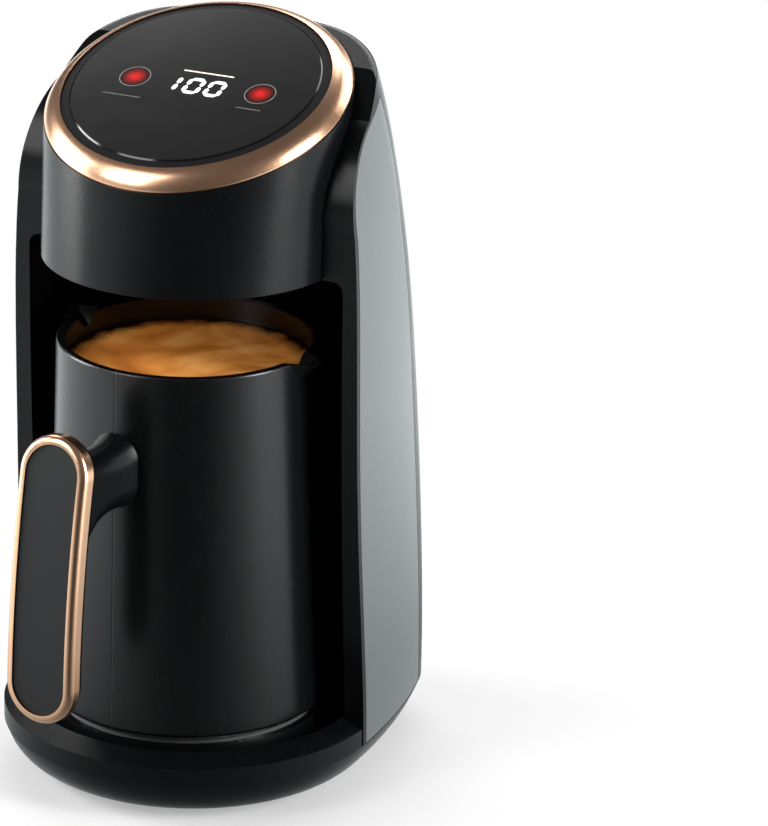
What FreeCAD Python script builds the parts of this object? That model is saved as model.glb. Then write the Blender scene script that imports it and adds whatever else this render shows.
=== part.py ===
import FreeCAD, Part
import os
import math
import Sketcher

# Electric turkish coffee maker: a niche with a hot plate, a jug that slides out to the front,
# a touch panel behind glass on the slanted top, and the electronics behind the niche.
# Millimetres and degrees. +Z is up and the front looks along -Y.
# The jug axis is the Z axis until the whole is moved back to stand centred on its origin.

doc = FreeCAD.newDocument("CoffeeMaker")
sheet = doc.addObject("Spreadsheet::Sheet", "Sizes")


class Size:
    """A length or an angle: its number, and the expression that ties it to the sheet."""

    def __init__(self, value, text):
        self.value = float(value)
        self.text = text

    def __add__(self, other):
        other = as_size(other)
        return Size(self.value + other.value, f"({self.text} + {other.text})")

    def __sub__(self, other):
        other = as_size(other)
        return Size(self.value - other.value, f"({self.text} - {other.text})")

    def __mul__(self, other):
        other = as_size(other)
        return Size(self.value * other.value, f"({self.text} * {other.text})")

    def __truediv__(self, other):
        other = as_size(other)
        return Size(self.value / other.value, f"({self.text} / {other.text})")

    def __radd__(self, other):
        return as_size(other) + self

    def __rsub__(self, other):
        return as_size(other) - self

    def __rmul__(self, other):
        return as_size(other) * self

    def __neg__(self):
        return Size(-self.value, f"(0 - {self.text})")


def as_size(value):
    """A plain number counts as a Size too."""
    return value if isinstance(value, Size) else Size(value, f"{value}")


def sine(angle):
    """Sine of an angle in degrees."""
    angle = as_size(angle)
    return Size(math.sin(math.radians(angle.value)), f"sin({angle.text} * 1 deg)")


def cosine(angle):
    """Cosine of an angle in degrees."""
    angle = as_size(angle)
    return Size(math.cos(math.radians(angle.value)), f"cos({angle.text} * 1 deg)")


def root(size):
    """Square root."""
    size = as_size(size)
    return Size(math.sqrt(size.value), f"sqrt({size.text})")


SIZES = {
    # General fits
    "gap": 0.3,
    "close_gap": 0.1,
    "running_fit": 0.08,
    "wall": 2.4,
    "thin_wall": 1.6,
    "tower_wall": 2.8,
    # Base
    "foot_height": 1.3,
    "foot_radius": 8.0,
    "foot_sink": 1.5,
    "base_radius": 68.5,
    "base_round": 18.0,
    "tower_z": 15.7,
    "edge_z": 22.6,
    "lip_z": 25.9,
    "lip_inset": 8.0,
    "deck_thick": 3.0,
    "moat_z": 20.0,
    "moat_width": 3.5,
    "stage_z": 25.0,
    "cover_inset": 20.0,
    "cover_thick": 4.0,
    "screw_radius": 1.5,
    "screw_length": 10.0,
    "screw_head_radius": 3.2,
    "screw_head_thick": 1.8,
    "boss_radius": 4.0,
    "vent_length": 28.0,
    "vent_width": 2.0,
    "vent_pitch": 6.0,
    # Tower: how far the half width and the depth of the rear corners fall short of the base's radius
    "side_arc": 260.0,
    "corner_arc": 34.0,
    "crown_angle": 12.0,
    "plan_front": 30.0,
    "low_short": 12.5,
    "belly_z": 90.0,
    "belly_in": 0.5,
    "belly_short": 17.5,
    "waist_z": 150.0,
    "waist_in": 1.1,
    "waist_short": 28.5,
    "shoulder_drop": 46.5,
    "shoulder_in": 2.2,
    "shoulder_short": 40.5,
    "brow_drop": 18.5,
    "brow_in": 4.9,
    "brow_short": 45.5,
    "crown_rise": 3.5,
    "crown_in": 9.0,
    "crown_short": 48.0,
    "peak_rise": 27.5,
    "peak_in": 16.5,
    "peak_short": 52.5,
    "roof_round": 2.5,
    # Front of the tower, seen from the side
    "front_low_y": -1.5,
    "front_bow": 1900.0,
    "front_high_y": -8.2,
    "front_high_drop": 39.5,
    "front_arc": 34.0,
    "front_bend_y": 13.8,
    "front_bend_drop": 3.0,
    "front_top_y": 34.0,
    "front_top_rise": 13.5,
    # Niche for the jug
    "bay_inset": 7.0,
    "seat_y": -4.5,
    "bay_top_z": 191.2,
    "bay_round": 4.0,
    # Slanted top
    "tilt": 20.8,
    "top_y": 2.7,
    "top_z": 246.5,
    # Head
    "head_low_inset": 14.5,
    "head_rim": 0.4,
    "sensor_window_radius": 9.0,
    # Control panel, measured along the slanted axis
    "ring_inset": 14.0,
    "ring_width": 6.5,
    "ring_height": 6.2,
    "ring_arc": 11.0,
    "glass_inset": 3.4,
    "glass_low": 4.6,
    "glass_thick": 2.0,
    "carrier_inset": 4.9,
    "carrier_deep": 7.0,
    "board_thick": 1.6,
    "key_spacing": 48.3,
    "key_shift": 1.2,
    "key_radius": 6.0,
    "key_ring": 1.4,
    "lamp_radius": 2.4,
    "lamp_height": 3.4,
    "display_wide": 26.0,
    "display_tall": 14.0,
    "display_shift": 2.3,
    "buzzer_radius": 6.0,
    "buzzer_height": 7.0,
    # Side panels, seen from the side
    "panel_low_z": 16.2,
    "panel_margin": 2.4,
    "panel_thick": 1.6,
    "panel_low_y": 60.8,
    "panel_high_y": 34.25,
    "panel_high_drop": 46.5,
    "panel_tip_y": 27.4,
    "panel_tip_rise": 2.1,
    "panel_back_arc": 850.0,
    "panel_tip_arc": 330.0,
    # Rear cover
    "split_y": 44.0,
    "split_drop": 3.5,
    # Hot plate and sensor
    "plate_radius": 44.0,
    "plate_z": 27.6,
    "plate_thick": 3.0,
    "plate_skirt": 2.0,
    "plate_ledge": 4.0,
    "plate_gap": 3.0,
    "heater_room": 4.2,
    "heater_tube": 3.2,
    "heater_sweep": 320.0,
    "heater_tail": 9.0,
    "heater_pin": 1.2,
    "heater_pin_length": 4.0,
    "strap_wide": 16.0,
    "strap_thick": 2.0,
    "cutout_room": 2.4,
    "cutout_radius": 6.4,
    "cutout_height": 6.0,
    "cutout_collar": 1.6,
    "fuse_length": 11.0,
    "fuse_width": 5.0,
    "plunger_radius": 4.0,
    "plunger_flange": 5.2,
    "plunger_flange_thick": 1.6,
    "plunger_top_gap": 0.2,
    "guide_radius": 6.6,
    "guide_low_z": 7.0,
    "spring_inner": 3.1,
    "spring_outer": 4.2,
    # Electronics behind the niche
    "board_space": 6.0,
    "board_half_wide": 30.0,
    "board_low_z": 32.0,
    "board_high_z": 116.0,
    "standoff_radius": 3.0,
    "relay_wide": 19.0,
    "relay_deep": 8.5,
    "relay_tall": 15.0,
    "supply_wide": 24.0,
    "supply_deep": 9.5,
    "supply_tall": 20.0,
    "capacitor_radius": 4.6,
    "capacitor_tall": 15.0,
    "terminal_wide": 30.0,
    "terminal_deep": 9.0,
    "terminal_tall": 11.0,
    "gland_z": 34.0,
    "gland_bore": 3.4,
    "gland_body": 6.0,
    "gland_flange": 8.0,
    "gland_flange_thick": 2.5,
    # Jug
    "jug_floor_z": 27.9,
    "jug_rim_z": 161.6,
    "jug_low_radius": 50.0,
    "jug_rim_radius": 46.8,
    "jug_wall": 2.2,
    "jug_disc_thick": 3.2,
    "liner_wall": 0.8,
    "liner_bend": 5.0,
    "liner_drop": 15.6,
    "seal_height": 1.5,
    "spout_reach": 10.0,
    "spout_drop": 9.0,
    "spout_half_wide": 15.0,
    "spout_skin": 1.7,
    "jug_turn": -6.35,
    # Jug handle
    "grip_width": 27.5,
    "grip_length": 102.8,
    "grip_lean": 7.1,
    "grip_reach": 89.4,
    "grip_drop": 63.6,
    "grip_bow": 480.0,
    "grip_crown": 2.7,
    "trim_wide": 3.0,
    "trim_deep": 5.5,
    "trim_round": 2.4,
    "grip_deep": 12.0,
    "grip_inset": 1.8,
    "grip_round": 4.0,
    "inlay_sunk": 0.7,
    "inlay_deep": 2.4,
    "neck_drop": 36.1,
    "neck_half_wide": 8.6,
    "neck_half_tall": 13.5,
    "neck_flare": 2.0,
    "bolt_radius": 1.9,
    "bolt_head_radius": 3.6,
    "bolt_head_thick": 2.2,
}
dim = {}
for row, (name, value) in enumerate(SIZES.items(), start=1):
    sheet.set(f"A{row}", name)
    sheet.set(f"B{row}", str(value))
    sheet.setAlias(f"B{row}", name)
    dim[name] = Size(value, f"Sizes.{name}")
doc.recompute()


class Dimensions:
    """Gives each named size as an attribute."""

    def __getattr__(self, name):
        return dim[name]


d = Dimensions()

# Sizes that follow from others
dim["low_depth"] = d.base_radius - d.low_short
dim["lip_radius"] = d.base_radius - d.lip_inset
dim["deck_low_z"] = d.moat_z - d.deck_thick
dim["bay_radius"] = d.base_radius - d.bay_inset
dim["board_y"] = d.seat_y + d.bay_radius + d.board_space
dim["shoulder_z"] = d.top_z - d.shoulder_drop
dim["brow_z"] = d.top_z - d.brow_drop
dim["crown_z"] = d.top_z + d.crown_rise
dim["peak_z"] = d.top_z + d.peak_rise
dim["front_high_z"] = d.top_z - d.front_high_drop
dim["front_bend_z"] = d.top_z - d.front_bend_drop
dim["front_top_z"] = d.top_z + d.front_top_rise
dim["panel_high_z"] = d.top_z - d.panel_high_drop
dim["panel_tip_z"] = d.top_z + d.panel_tip_rise
dim["split_z"] = d.top_z - d.split_drop
dim["above_all"] = d.top_z + 80
dim["head_low_radius"] = d.base_radius - d.head_low_inset
dim["ring_radius"] = d.base_radius - d.ring_inset
dim["head_top_radius"] = d.ring_radius + d.head_rim
dim["ring_inner"] = d.ring_radius - d.ring_width
dim["glass_radius"] = d.ring_inner - d.glass_inset
dim["carrier_radius"] = d.ring_radius - d.carrier_inset
dim["top_opening"] = d.carrier_radius + d.head_rim
dim["plate_seat"] = d.plate_radius - d.plate_ledge
dim["moat_inner"] = d.plate_radius + d.plate_gap + d.moat_width
dim["collar_radius"] = d.cutout_radius + d.cutout_collar
dim["cutout_x"] = d.guide_radius + d.collar_radius + d.cutout_room
dim["heater_ring"] = d.guide_radius + d.collar_radius * 2 + d.heater_tube + d.heater_room
dim["liner_top_z"] = d.jug_rim_z - d.liner_drop
dim["spout_low_z"] = d.jug_rim_z - d.spout_drop
dim["neck_z"] = d.jug_rim_z - d.neck_drop
dim["grip_mid_z"] = d.jug_rim_z - d.grip_drop


# Sketches

def origin_plane(body, role):
    return [item for item in body.Origin.OriginFeatures if item.Role == role][0]


def new_sketch(body, role, lift=0):
    """A sketch on one of the body's own planes, moved out along the plane's normal by lift."""
    sketch = body.newObject("Sketcher::SketchObject", body.Label + "_sketch")
    sketch.AttachmentSupport = [(origin_plane(body, role), "")]
    sketch.MapMode = "FlatFace"
    lift = as_size(lift)
    sketch.AttachmentOffset = FreeCAD.Placement(FreeCAD.Vector(0, 0, lift.value), FreeCAD.Rotation())
    sketch.setExpression("AttachmentOffset.Base.z", lift.text)
    return sketch


def pin_point(sketch, geometry, end, x, y):
    """Ties one point of a sketch to its coordinates."""
    for kind, axis, size in (("DistanceX", -2, x), ("DistanceY", -1, y)):
        if size.text in ("0", "0.0"):
            sketch.addConstraint(Sketcher.Constraint("PointOnObject", geometry, end, axis))
            continue
        index = sketch.addConstraint(Sketcher.Constraint(kind, -1, 1, geometry, end, size.value))
        sketch.setExpression(f"Constraints[{index}]", size.text)


def outline(sketch, start, *steps):
    """A closed outline. A step is (x, y) for a line, or (x, y, radius, side) for an arc whose centre
    lies to the left (side 1) or to the right (side -1) of the way to its end."""
    points = [(as_size(start[0]), as_size(start[1]))]
    points += [(as_size(step[0]), as_size(step[1])) for step in steps]
    ends = []
    for index, step in enumerate(steps):
        (x0, y0), (x1, y1) = points[index], points[(index + 1) % len(steps)]
        p0 = FreeCAD.Vector(x0.value, y0.value, 0)
        p1 = FreeCAD.Vector(x1.value, y1.value, 0)
        if len(step) == 2:
            geometry = sketch.addGeometry(Part.LineSegment(p0, p1))
            ends.append((geometry, 1, 2))
            continue
        radius, side = as_size(step[2]), step[3]
        chord = p1 - p0
        half = chord.Length / 2
        left = FreeCAD.Vector(-chord.y, chord.x, 0).normalize()
        centre = (p0 + p1) / 2 + left * side * math.sqrt(max(radius.value ** 2 - half ** 2, 0))
        angles = [math.atan2(p.y - centre.y, p.x - centre.x) for p in (p0, p1)]
        if side < 0:
            angles.reverse()
        circle = Part.Circle(centre, FreeCAD.Vector(0, 0, 1), radius.value)
        geometry = sketch.addGeometry(Part.ArcOfCircle(circle, angles[0], angles[1]))
        bend = sketch.addConstraint(Sketcher.Constraint("Radius", geometry, radius.value))
        sketch.setExpression(f"Constraints[{bend}]", radius.text)
        ends.append((geometry, 1, 2) if side > 0 else (geometry, 2, 1))
    for index, (geometry, begin, finish) in enumerate(ends):
        before = ends[index - 1]
        sketch.addConstraint(Sketcher.Constraint("Coincident", before[0], before[2], geometry, begin))
        pin_point(sketch, geometry, begin, *points[index])


def circle(sketch, radius, x=0, y=0):
    """A full circle at (x, y)."""
    radius, x, y = as_size(radius), as_size(x), as_size(y)
    centre = FreeCAD.Vector(x.value, y.value, 0)
    geometry = sketch.addGeometry(Part.Circle(centre, FreeCAD.Vector(0, 0, 1), radius.value))
    index = sketch.addConstraint(Sketcher.Constraint("Radius", geometry, radius.value))
    sketch.setExpression(f"Constraints[{index}]", radius.text)
    pin_point(sketch, geometry, 3, x, y)


def rectangle(sketch, x0, y0, x1, y1):
    outline(sketch, (x0, y0), (x1, y0), (x1, y1), (x0, y1), (x0, y0))


def stadium(sketch, width, length):
    """An upright slot with round ends, each end made of two quarter turns."""
    half = width / 2
    straight = length / 2 - half
    tip = length / 2
    outline(
        sketch, (half, -straight), (half, straight), (0, tip, half, 1), (-half, straight, half, 1),
        (-half, -straight), (0, -tip, half, 1), (half, -straight, half, 1),
    )


# Features

def settle(item):
    """Works the document out and stops at the first object that fails."""
    doc.recompute()
    if "Invalid" in item.State or item.Shape.isNull():
        raise RuntimeError(f"{item.Label} failed: {item.State}")
    return item


def new_body(name):
    body = doc.addObject("PartDesign::Body", name)
    body.Label = name
    return body


def pad(body, sketch, length, both_ways=False, reverse=False):
    feature = body.newObject("PartDesign::Pad", body.Label + "_pad")
    feature.Profile = sketch
    length = as_size(length)
    feature.Length = length.value
    feature.setExpression("Length", length.text)
    if both_ways:
        feature.SideType = "Symmetric"
    feature.Reversed = reverse
    return settle(feature)


def pocket(body, sketch, length, both_ways=False, reverse=False):
    """Cuts along the sketch's normal when reversed, and against it when not."""
    before = body.Tip.Shape.Volume
    feature = body.newObject("PartDesign::Pocket", body.Label + "_pocket")
    feature.Profile = sketch
    length = as_size(length)
    feature.Length = length.value
    feature.setExpression("Length", length.text)
    if both_ways:
        feature.SideType = "Symmetric"
    feature.Reversed = reverse
    settle(feature)
    if not feature.Shape.Volume < before - 1e-6:
        raise RuntimeError(body.Label + ": a pocket removes nothing")
    return feature


def turn(body, sketch):
    """A solid of revolution about the upright axis of the sketch."""
    feature = body.newObject("PartDesign::Revolution", body.Label + "_turn")
    feature.Profile = sketch
    feature.ReferenceAxis = (sketch, ["V_Axis"])
    feature.Angle = 360
    return settle(feature)


def groove(body, sketch):
    """Cuts a ring about the upright axis of the sketch."""
    before = body.Tip.Shape.Volume
    feature = body.newObject("PartDesign::Groove", body.Label + "_groove")
    feature.Profile = sketch
    feature.ReferenceAxis = (sketch, ["V_Axis"])
    feature.Angle = 360
    settle(feature)
    if not feature.Shape.Volume < before - 1e-6:
        raise RuntimeError(body.Label + ": a groove removes nothing")
    return feature


def turned_body(name, *profile):
    """A body that is one revolved outline of (radius, height) steps."""
    body = new_body(name)
    sketch = new_sketch(body, "XZ_Plane")
    outline(sketch, *profile)
    turn(body, sketch)
    return body


def loft(body, sketches, cut=False):
    kind = "PartDesign::SubtractiveLoft" if cut else "PartDesign::AdditiveLoft"
    feature = body.newObject(kind, body.Label + "_loft")
    feature.Profile = sketches[0]
    feature.Sections = sketches[1:]
    feature.Ruled = False
    return settle(feature)


def round_edges(body, radius, choose):
    """Fillets the edges of the body's last feature that choose picks."""
    base = body.Tip
    names = [f"Edge{number}" for number, edge in enumerate(base.Shape.Edges, start=1) if choose(edge)]
    feature = body.newObject("PartDesign::Fillet", body.Label + "_fillet")
    feature.Base = (base, names)
    radius = as_size(radius)
    feature.Radius = radius.value
    feature.setExpression("Radius", radius.text)
    return settle(feature)


def combine(kind, name, base, tool):
    """Cuts the tool from the base, keeps what they share, or joins them."""
    feature = doc.addObject("Part::" + kind, name)
    feature.Label = name
    feature.Base = base
    feature.Tool = tool
    return settle(feature)


def fuse_all(name, items):
    feature = doc.addObject("Part::MultiFuse", name)
    feature.Label = name
    feature.Shapes = items
    return settle(feature)


def place(item, x=0, y=0, z=0, yaw=0, roll=0):
    """Sets where an object stands: yaw about Z after roll about X."""
    x, y, z, yaw, roll = (as_size(value) for value in (x, y, z, yaw, roll))
    item.setExpression(
        "Placement",
        f"placement(vector({x.text};{y.text};{z.text});rotation({yaw.text};0;{roll.text}))",
    )


def cylinder(name, radius, height, x=0, y=0, z=0):
    item = doc.addObject("Part::Cylinder", name)
    item.Label = name
    item.setExpression("Radius", as_size(radius).text)
    item.setExpression("Height", as_size(height).text)
    place(item, x, y, z)
    return item


def block(name, long, wide, tall, x=0, y=0, z=0):
    """A box centred on x and y with its floor at z."""
    long, wide, tall = as_size(long), as_size(wide), as_size(tall)
    item = doc.addObject("Part::Box", name)
    item.Label = name
    item.setExpression("Length", long.text)
    item.setExpression("Width", wide.text)
    item.setExpression("Height", tall.text)
    place(item, as_size(x) - long / 2, as_size(y) - wide / 2, z)
    return item


# Nodes in the order in which they are written
NODES = []


def node(item, name=None):
    """Marks an object as one sub-part of the coffee maker."""
    if name:
        item.Label = name
    NODES.append(item)
    return item


# The plan of the tower and of the base

def plan_steps(half, depth, inset):
    """Right side, rear corner, crown and left side of the plan, as outline steps.
    The side is an arc that leaves the half width squarely; the corner and the crown follow on."""
    side = d.side_arc - inset
    corner = d.corner_arc - inset
    reach = d.side_arc - d.corner_arc
    sweep = depth / reach
    across = root(1 - sweep * sweep)
    half = half - inset
    side_x = half - side + side * across
    side_y = side * sweep
    corner_x = half - side + reach * across
    crown_sine = sine(d.crown_angle)
    crown = corner + corner_x / crown_sine
    crown_x = corner_x + corner * crown_sine
    crown_y = depth + corner * cosine(d.crown_angle)
    return [
        (side_x, side_y, side, 1), (crown_x, crown_y, corner, 1), (-crown_x, crown_y, crown, 1),
        (-side_x, side_y, corner, 1), (-half, 0, side, 1),
    ]


def rear_reach(half, depth):
    """How far back the plan's crown stands."""
    steps = plan_steps(half, depth, as_size(0))
    crown_x, crown_y = -steps[2][0], steps[2][1]
    crown = steps[2][2]
    return crown_y + crown - crown * cosine(d.crown_angle)


def footprint(sketch, inset):
    """Round front, tower plan behind it."""
    radius = d.base_radius - inset
    outline(
        sketch, (radius, 0), *plan_steps(d.base_radius, d.low_depth, inset),
        (0, -radius, radius, 1), (radius, 0, radius, 1),
    )


# Height of each section of the tower, its half width and the depth of its rear corners
STATIONS = (
    (d.tower_z, d.base_radius, d.low_depth),
    (d.belly_z, d.base_radius - d.belly_in, d.base_radius - d.belly_short),
    (d.waist_z, d.base_radius - d.waist_in, d.base_radius - d.waist_short),
    (d.shoulder_z, d.base_radius - d.shoulder_in, d.base_radius - d.shoulder_short),
    (d.brow_z, d.base_radius - d.brow_in, d.base_radius - d.brow_short),
    (d.crown_z, d.base_radius - d.crown_in, d.base_radius - d.crown_short),
    (d.peak_z, d.base_radius - d.peak_in, d.base_radius - d.peak_short),
)


def front_outline(sketch, inset, far):
    """All that lies in front of the front face of the tower, as seen from the side."""
    drop = as_size(inset) / 2
    outline(
        sketch, (-far, 0), (d.front_low_y + inset, 0), (d.front_low_y + inset, d.tower_z),
        (d.front_high_y + inset, d.front_high_z, d.front_bow, -1),
        (d.front_bend_y + inset, d.front_bend_z - drop, d.front_arc, -1),
        (d.front_top_y + inset, d.front_top_z - drop), (d.front_top_y + inset, d.above_all),
        (-far, d.above_all), (-far, 0),
    )


def roof_height(y, drop):
    """Height of the slanted roof at a depth, lowered squarely to the slope."""
    return d.top_z - drop / cosine(d.tilt) + (y - d.top_y) * sine(d.tilt) / cosine(d.tilt)


def tower_form(name, inset=0, front_inset=0, top_drop=0):
    """The whole outer shape of the tower, or the same drawn in by inset, with its own front and roof."""
    body = new_body(name)
    sections = []
    for height, half, depth in STATIONS:
        sketch = new_sketch(body, "XY_Plane", height)
        reach = half - inset
        front = -d.plan_front
        outline(
            sketch, (reach, front), (reach, 0), *plan_steps(half, depth, inset),
            (-reach, front), (reach, front),
        )
        sections.append(sketch)
    loft(body, sections)
    width = d.base_radius * 3
    cut = new_sketch(body, "YZ_Plane")
    front_outline(cut, front_inset, d.base_radius)
    pocket(body, cut, width, both_ways=True)
    low_y = -width / 2
    high_y = width
    drop = as_size(top_drop)
    roof = new_sketch(body, "YZ_Plane")
    top = d.above_all + width / 2
    outline(
        roof, (low_y, roof_height(low_y, drop)), (high_y, roof_height(high_y, drop)), (high_y, top),
        (low_y, top), (low_y, roof_height(low_y, drop)),
    )
    pocket(body, roof, width, both_ways=True)
    return body


def on_roof(edge):
    """Whether an edge of the tower runs round the roof, other than along its straight front."""
    slope = math.tan(math.radians(d.tilt.value))
    heights = [p.z - d.top_z.value - (p.y - d.top_y.value) * slope for p in edge.discretize(5)]
    return max(map(abs, heights)) < 0.01 and edge.BoundBox.YLength > 0.01


def head_form(name, grow):
    """The head between the upright circle at its foot and the slanted circle under the trim ring."""
    body = new_body(name)
    foot = new_sketch(body, "XY_Plane", d.bay_top_z)
    circle(foot, d.head_low_radius + grow)
    top = new_sketch(body, "XY_Plane")
    circle(top, d.head_top_radius + grow)
    top.setExpression(
        "AttachmentOffset", f"placement(vector(0;{d.top_y.text};{d.top_z.text});rotation(0;0;{d.tilt.text}))"
    )
    feature = body.newObject("PartDesign::AdditiveLoft", name + "_loft")
    feature.Profile = foot
    feature.Sections = [top]
    feature.Ruled = True
    settle(feature)
    return body


# Base

def tub_form(name, inset):
    body = new_body(name)
    sketch = new_sketch(body, "XY_Plane", d.foot_height + inset)
    footprint(sketch, as_size(inset))
    pad(body, sketch, d.tower_z + d.base_round)
    low = body.Tip.Shape.BoundBox.ZMin
    round_edges(body, d.base_round - inset, lambda edge: edge.BoundBox.ZMax < low + 0.01)
    above = new_sketch(body, "XY_Plane", d.tower_z)
    outer = d.base_radius * 2
    rectangle(above, -outer, -outer, outer, outer)
    pocket(body, above, outer, reverse=True)
    return body


COVER_SCREWS = [(-34, -26), (34, -26), (-34, 38), (34, 38)]
FEET = [(-20, -32), (20, -32), (-36, 18), (36, 18)]


def make_base():
    tub = combine("Cut", "tub_hollow", tub_form("tub_outside", 0), tub_form("tub_inside", d.wall))
    floor_hole = new_body("tub_floor_hole")
    sketch = new_sketch(floor_hole, "XY_Plane", d.foot_height)
    footprint(sketch, d.cover_inset)
    pad(floor_hole, sketch, d.wall * 2)
    node(combine("Cut", "base_shell", tub, floor_hole))

    cover = new_body("base_cover")
    sketch = new_sketch(cover, "XY_Plane", d.foot_height)
    footprint(sketch, d.cover_inset + d.gap)
    pad(cover, sketch, d.cover_thick)
    flange = new_sketch(cover, "XY_Plane", d.foot_height + d.wall)
    footprint(flange, d.base_round + 0.5)
    pad(cover, flange, d.cover_thick - d.wall)
    feet = new_sketch(cover, "XY_Plane", d.foot_height)
    for x, y in FEET:
        circle(feet, d.foot_radius + d.close_gap, x, y)
    pocket(cover, feet, d.foot_sink, reverse=True)
    heads = new_sketch(cover, "XY_Plane", d.foot_height)
    for x, y in COVER_SCREWS:
        circle(heads, d.screw_head_radius + d.gap, x, y)
    pocket(cover, heads, d.screw_head_thick + 0.4, reverse=True)
    holes = new_sketch(cover, "XY_Plane", d.foot_height)
    for x, y in COVER_SCREWS:
        circle(holes, d.screw_radius + d.gap, x, y)
    pocket(cover, holes, d.cover_thick * 2, reverse=True)
    vents = new_sketch(cover, "XY_Plane", d.foot_height)
    for index in range(7):
        low = (index + 1) * d.vent_pitch + 2
        rectangle(vents, -d.vent_length / 2, low, d.vent_length / 2, low + d.vent_width)
    pocket(cover, vents, d.cover_thick * 2, reverse=True)
    node(cover)

    node(fuse_all("rubber_feet", [
        cylinder(f"foot_{index}", d.foot_radius, d.foot_height + d.foot_sink, x, y)
        for index, (x, y) in enumerate(FEET)
    ]))

    screws = []
    for index, (x, y) in enumerate(COVER_SCREWS):
        low = d.foot_height + 0.4
        under = low + d.screw_head_thick
        for part_name, radius, length, z in (
            ("head", d.screw_head_radius, d.screw_head_thick, low),
            ("shank", d.screw_radius, d.screw_length, under),
        ):
            screws.append(cylinder(f"base_screw_{part_name}_{index}", radius, length, x, y, z))
    node(fuse_all("base_screws", screws))


def make_deck():
    deck = turned_body(
        "deck_ring", (0, d.deck_low_z), (d.lip_radius + 0.4, d.deck_low_z),
        (d.lip_radius + 0.4, d.edge_z - 0.3), (d.base_radius - d.wall, d.edge_z - d.wall),
        (d.base_radius - d.wall, d.tower_z), (d.base_radius, d.tower_z), (d.base_radius, d.edge_z),
        (d.lip_radius, d.lip_z), (d.lip_radius - 2, d.moat_z), (0, d.moat_z), (0, d.deck_low_z),
    )
    # Behind the front face of the tower the deck fits inside the niche
    trim = new_sketch(deck, "XY_Plane", d.tower_z - 1)
    edge_y = d.front_low_y - 1.3
    outer = d.base_radius + 3
    outline(trim, (-outer, edge_y), (outer, edge_y), (outer, outer), (-outer, outer), (-outer, edge_y))
    niche = d.bay_radius - d.gap
    middle = d.seat_y
    side_x = root(niche * niche - (edge_y - middle) * (edge_y - middle)) - 0.02
    outline(
        trim, (side_x, edge_y + 0.02), (0, middle + niche, niche, 1), (-side_x, edge_y + 0.02, niche, 1),
        (side_x, edge_y + 0.02),
    )
    pocket(deck, trim, d.lip_z, reverse=True)
    seat = new_sketch(deck, "XY_Plane", d.tower_z)
    circle(seat, d.plate_seat, 0, d.seat_y)
    pocket(deck, seat, d.lip_z, reverse=True)
    stage_inner = d.plate_radius + d.plate_gap
    stage = turned_body(
        "deck_stage", (stage_inner, d.moat_z - 0.5), (d.moat_inner, d.moat_z - 0.5), (d.moat_inner, d.moat_z),
        (d.moat_inner - 1, d.stage_z), (stage_inner, d.stage_z), (stage_inner, d.moat_z - 0.5),
    )
    place(stage, 0, d.seat_y)
    cover_top = d.foot_height + d.cover_thick
    bosses = [
        cylinder(f"deck_boss_{index}", d.boss_radius, d.deck_low_z + 1 - cover_top, x, y, cover_top)
        for index, (x, y) in enumerate(COVER_SCREWS)
    ]
    holes = [
        cylinder(f"deck_boss_hole_{index}", d.screw_radius + d.close_gap, d.screw_length, x, y, cover_top - 1)
        for index, (x, y) in enumerate(COVER_SCREWS)
    ]
    solid = fuse_all("deck_with_bosses", [deck, stage] + bosses)
    node(combine("Cut", "base_deck", solid, fuse_all("deck_holes", holes)))


# Hot plate, heater and temperature sensor

def seated(item):
    """Moves a piece to the axis of the jug's seat."""
    place(item, 0, d.seat_y)
    return item


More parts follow.
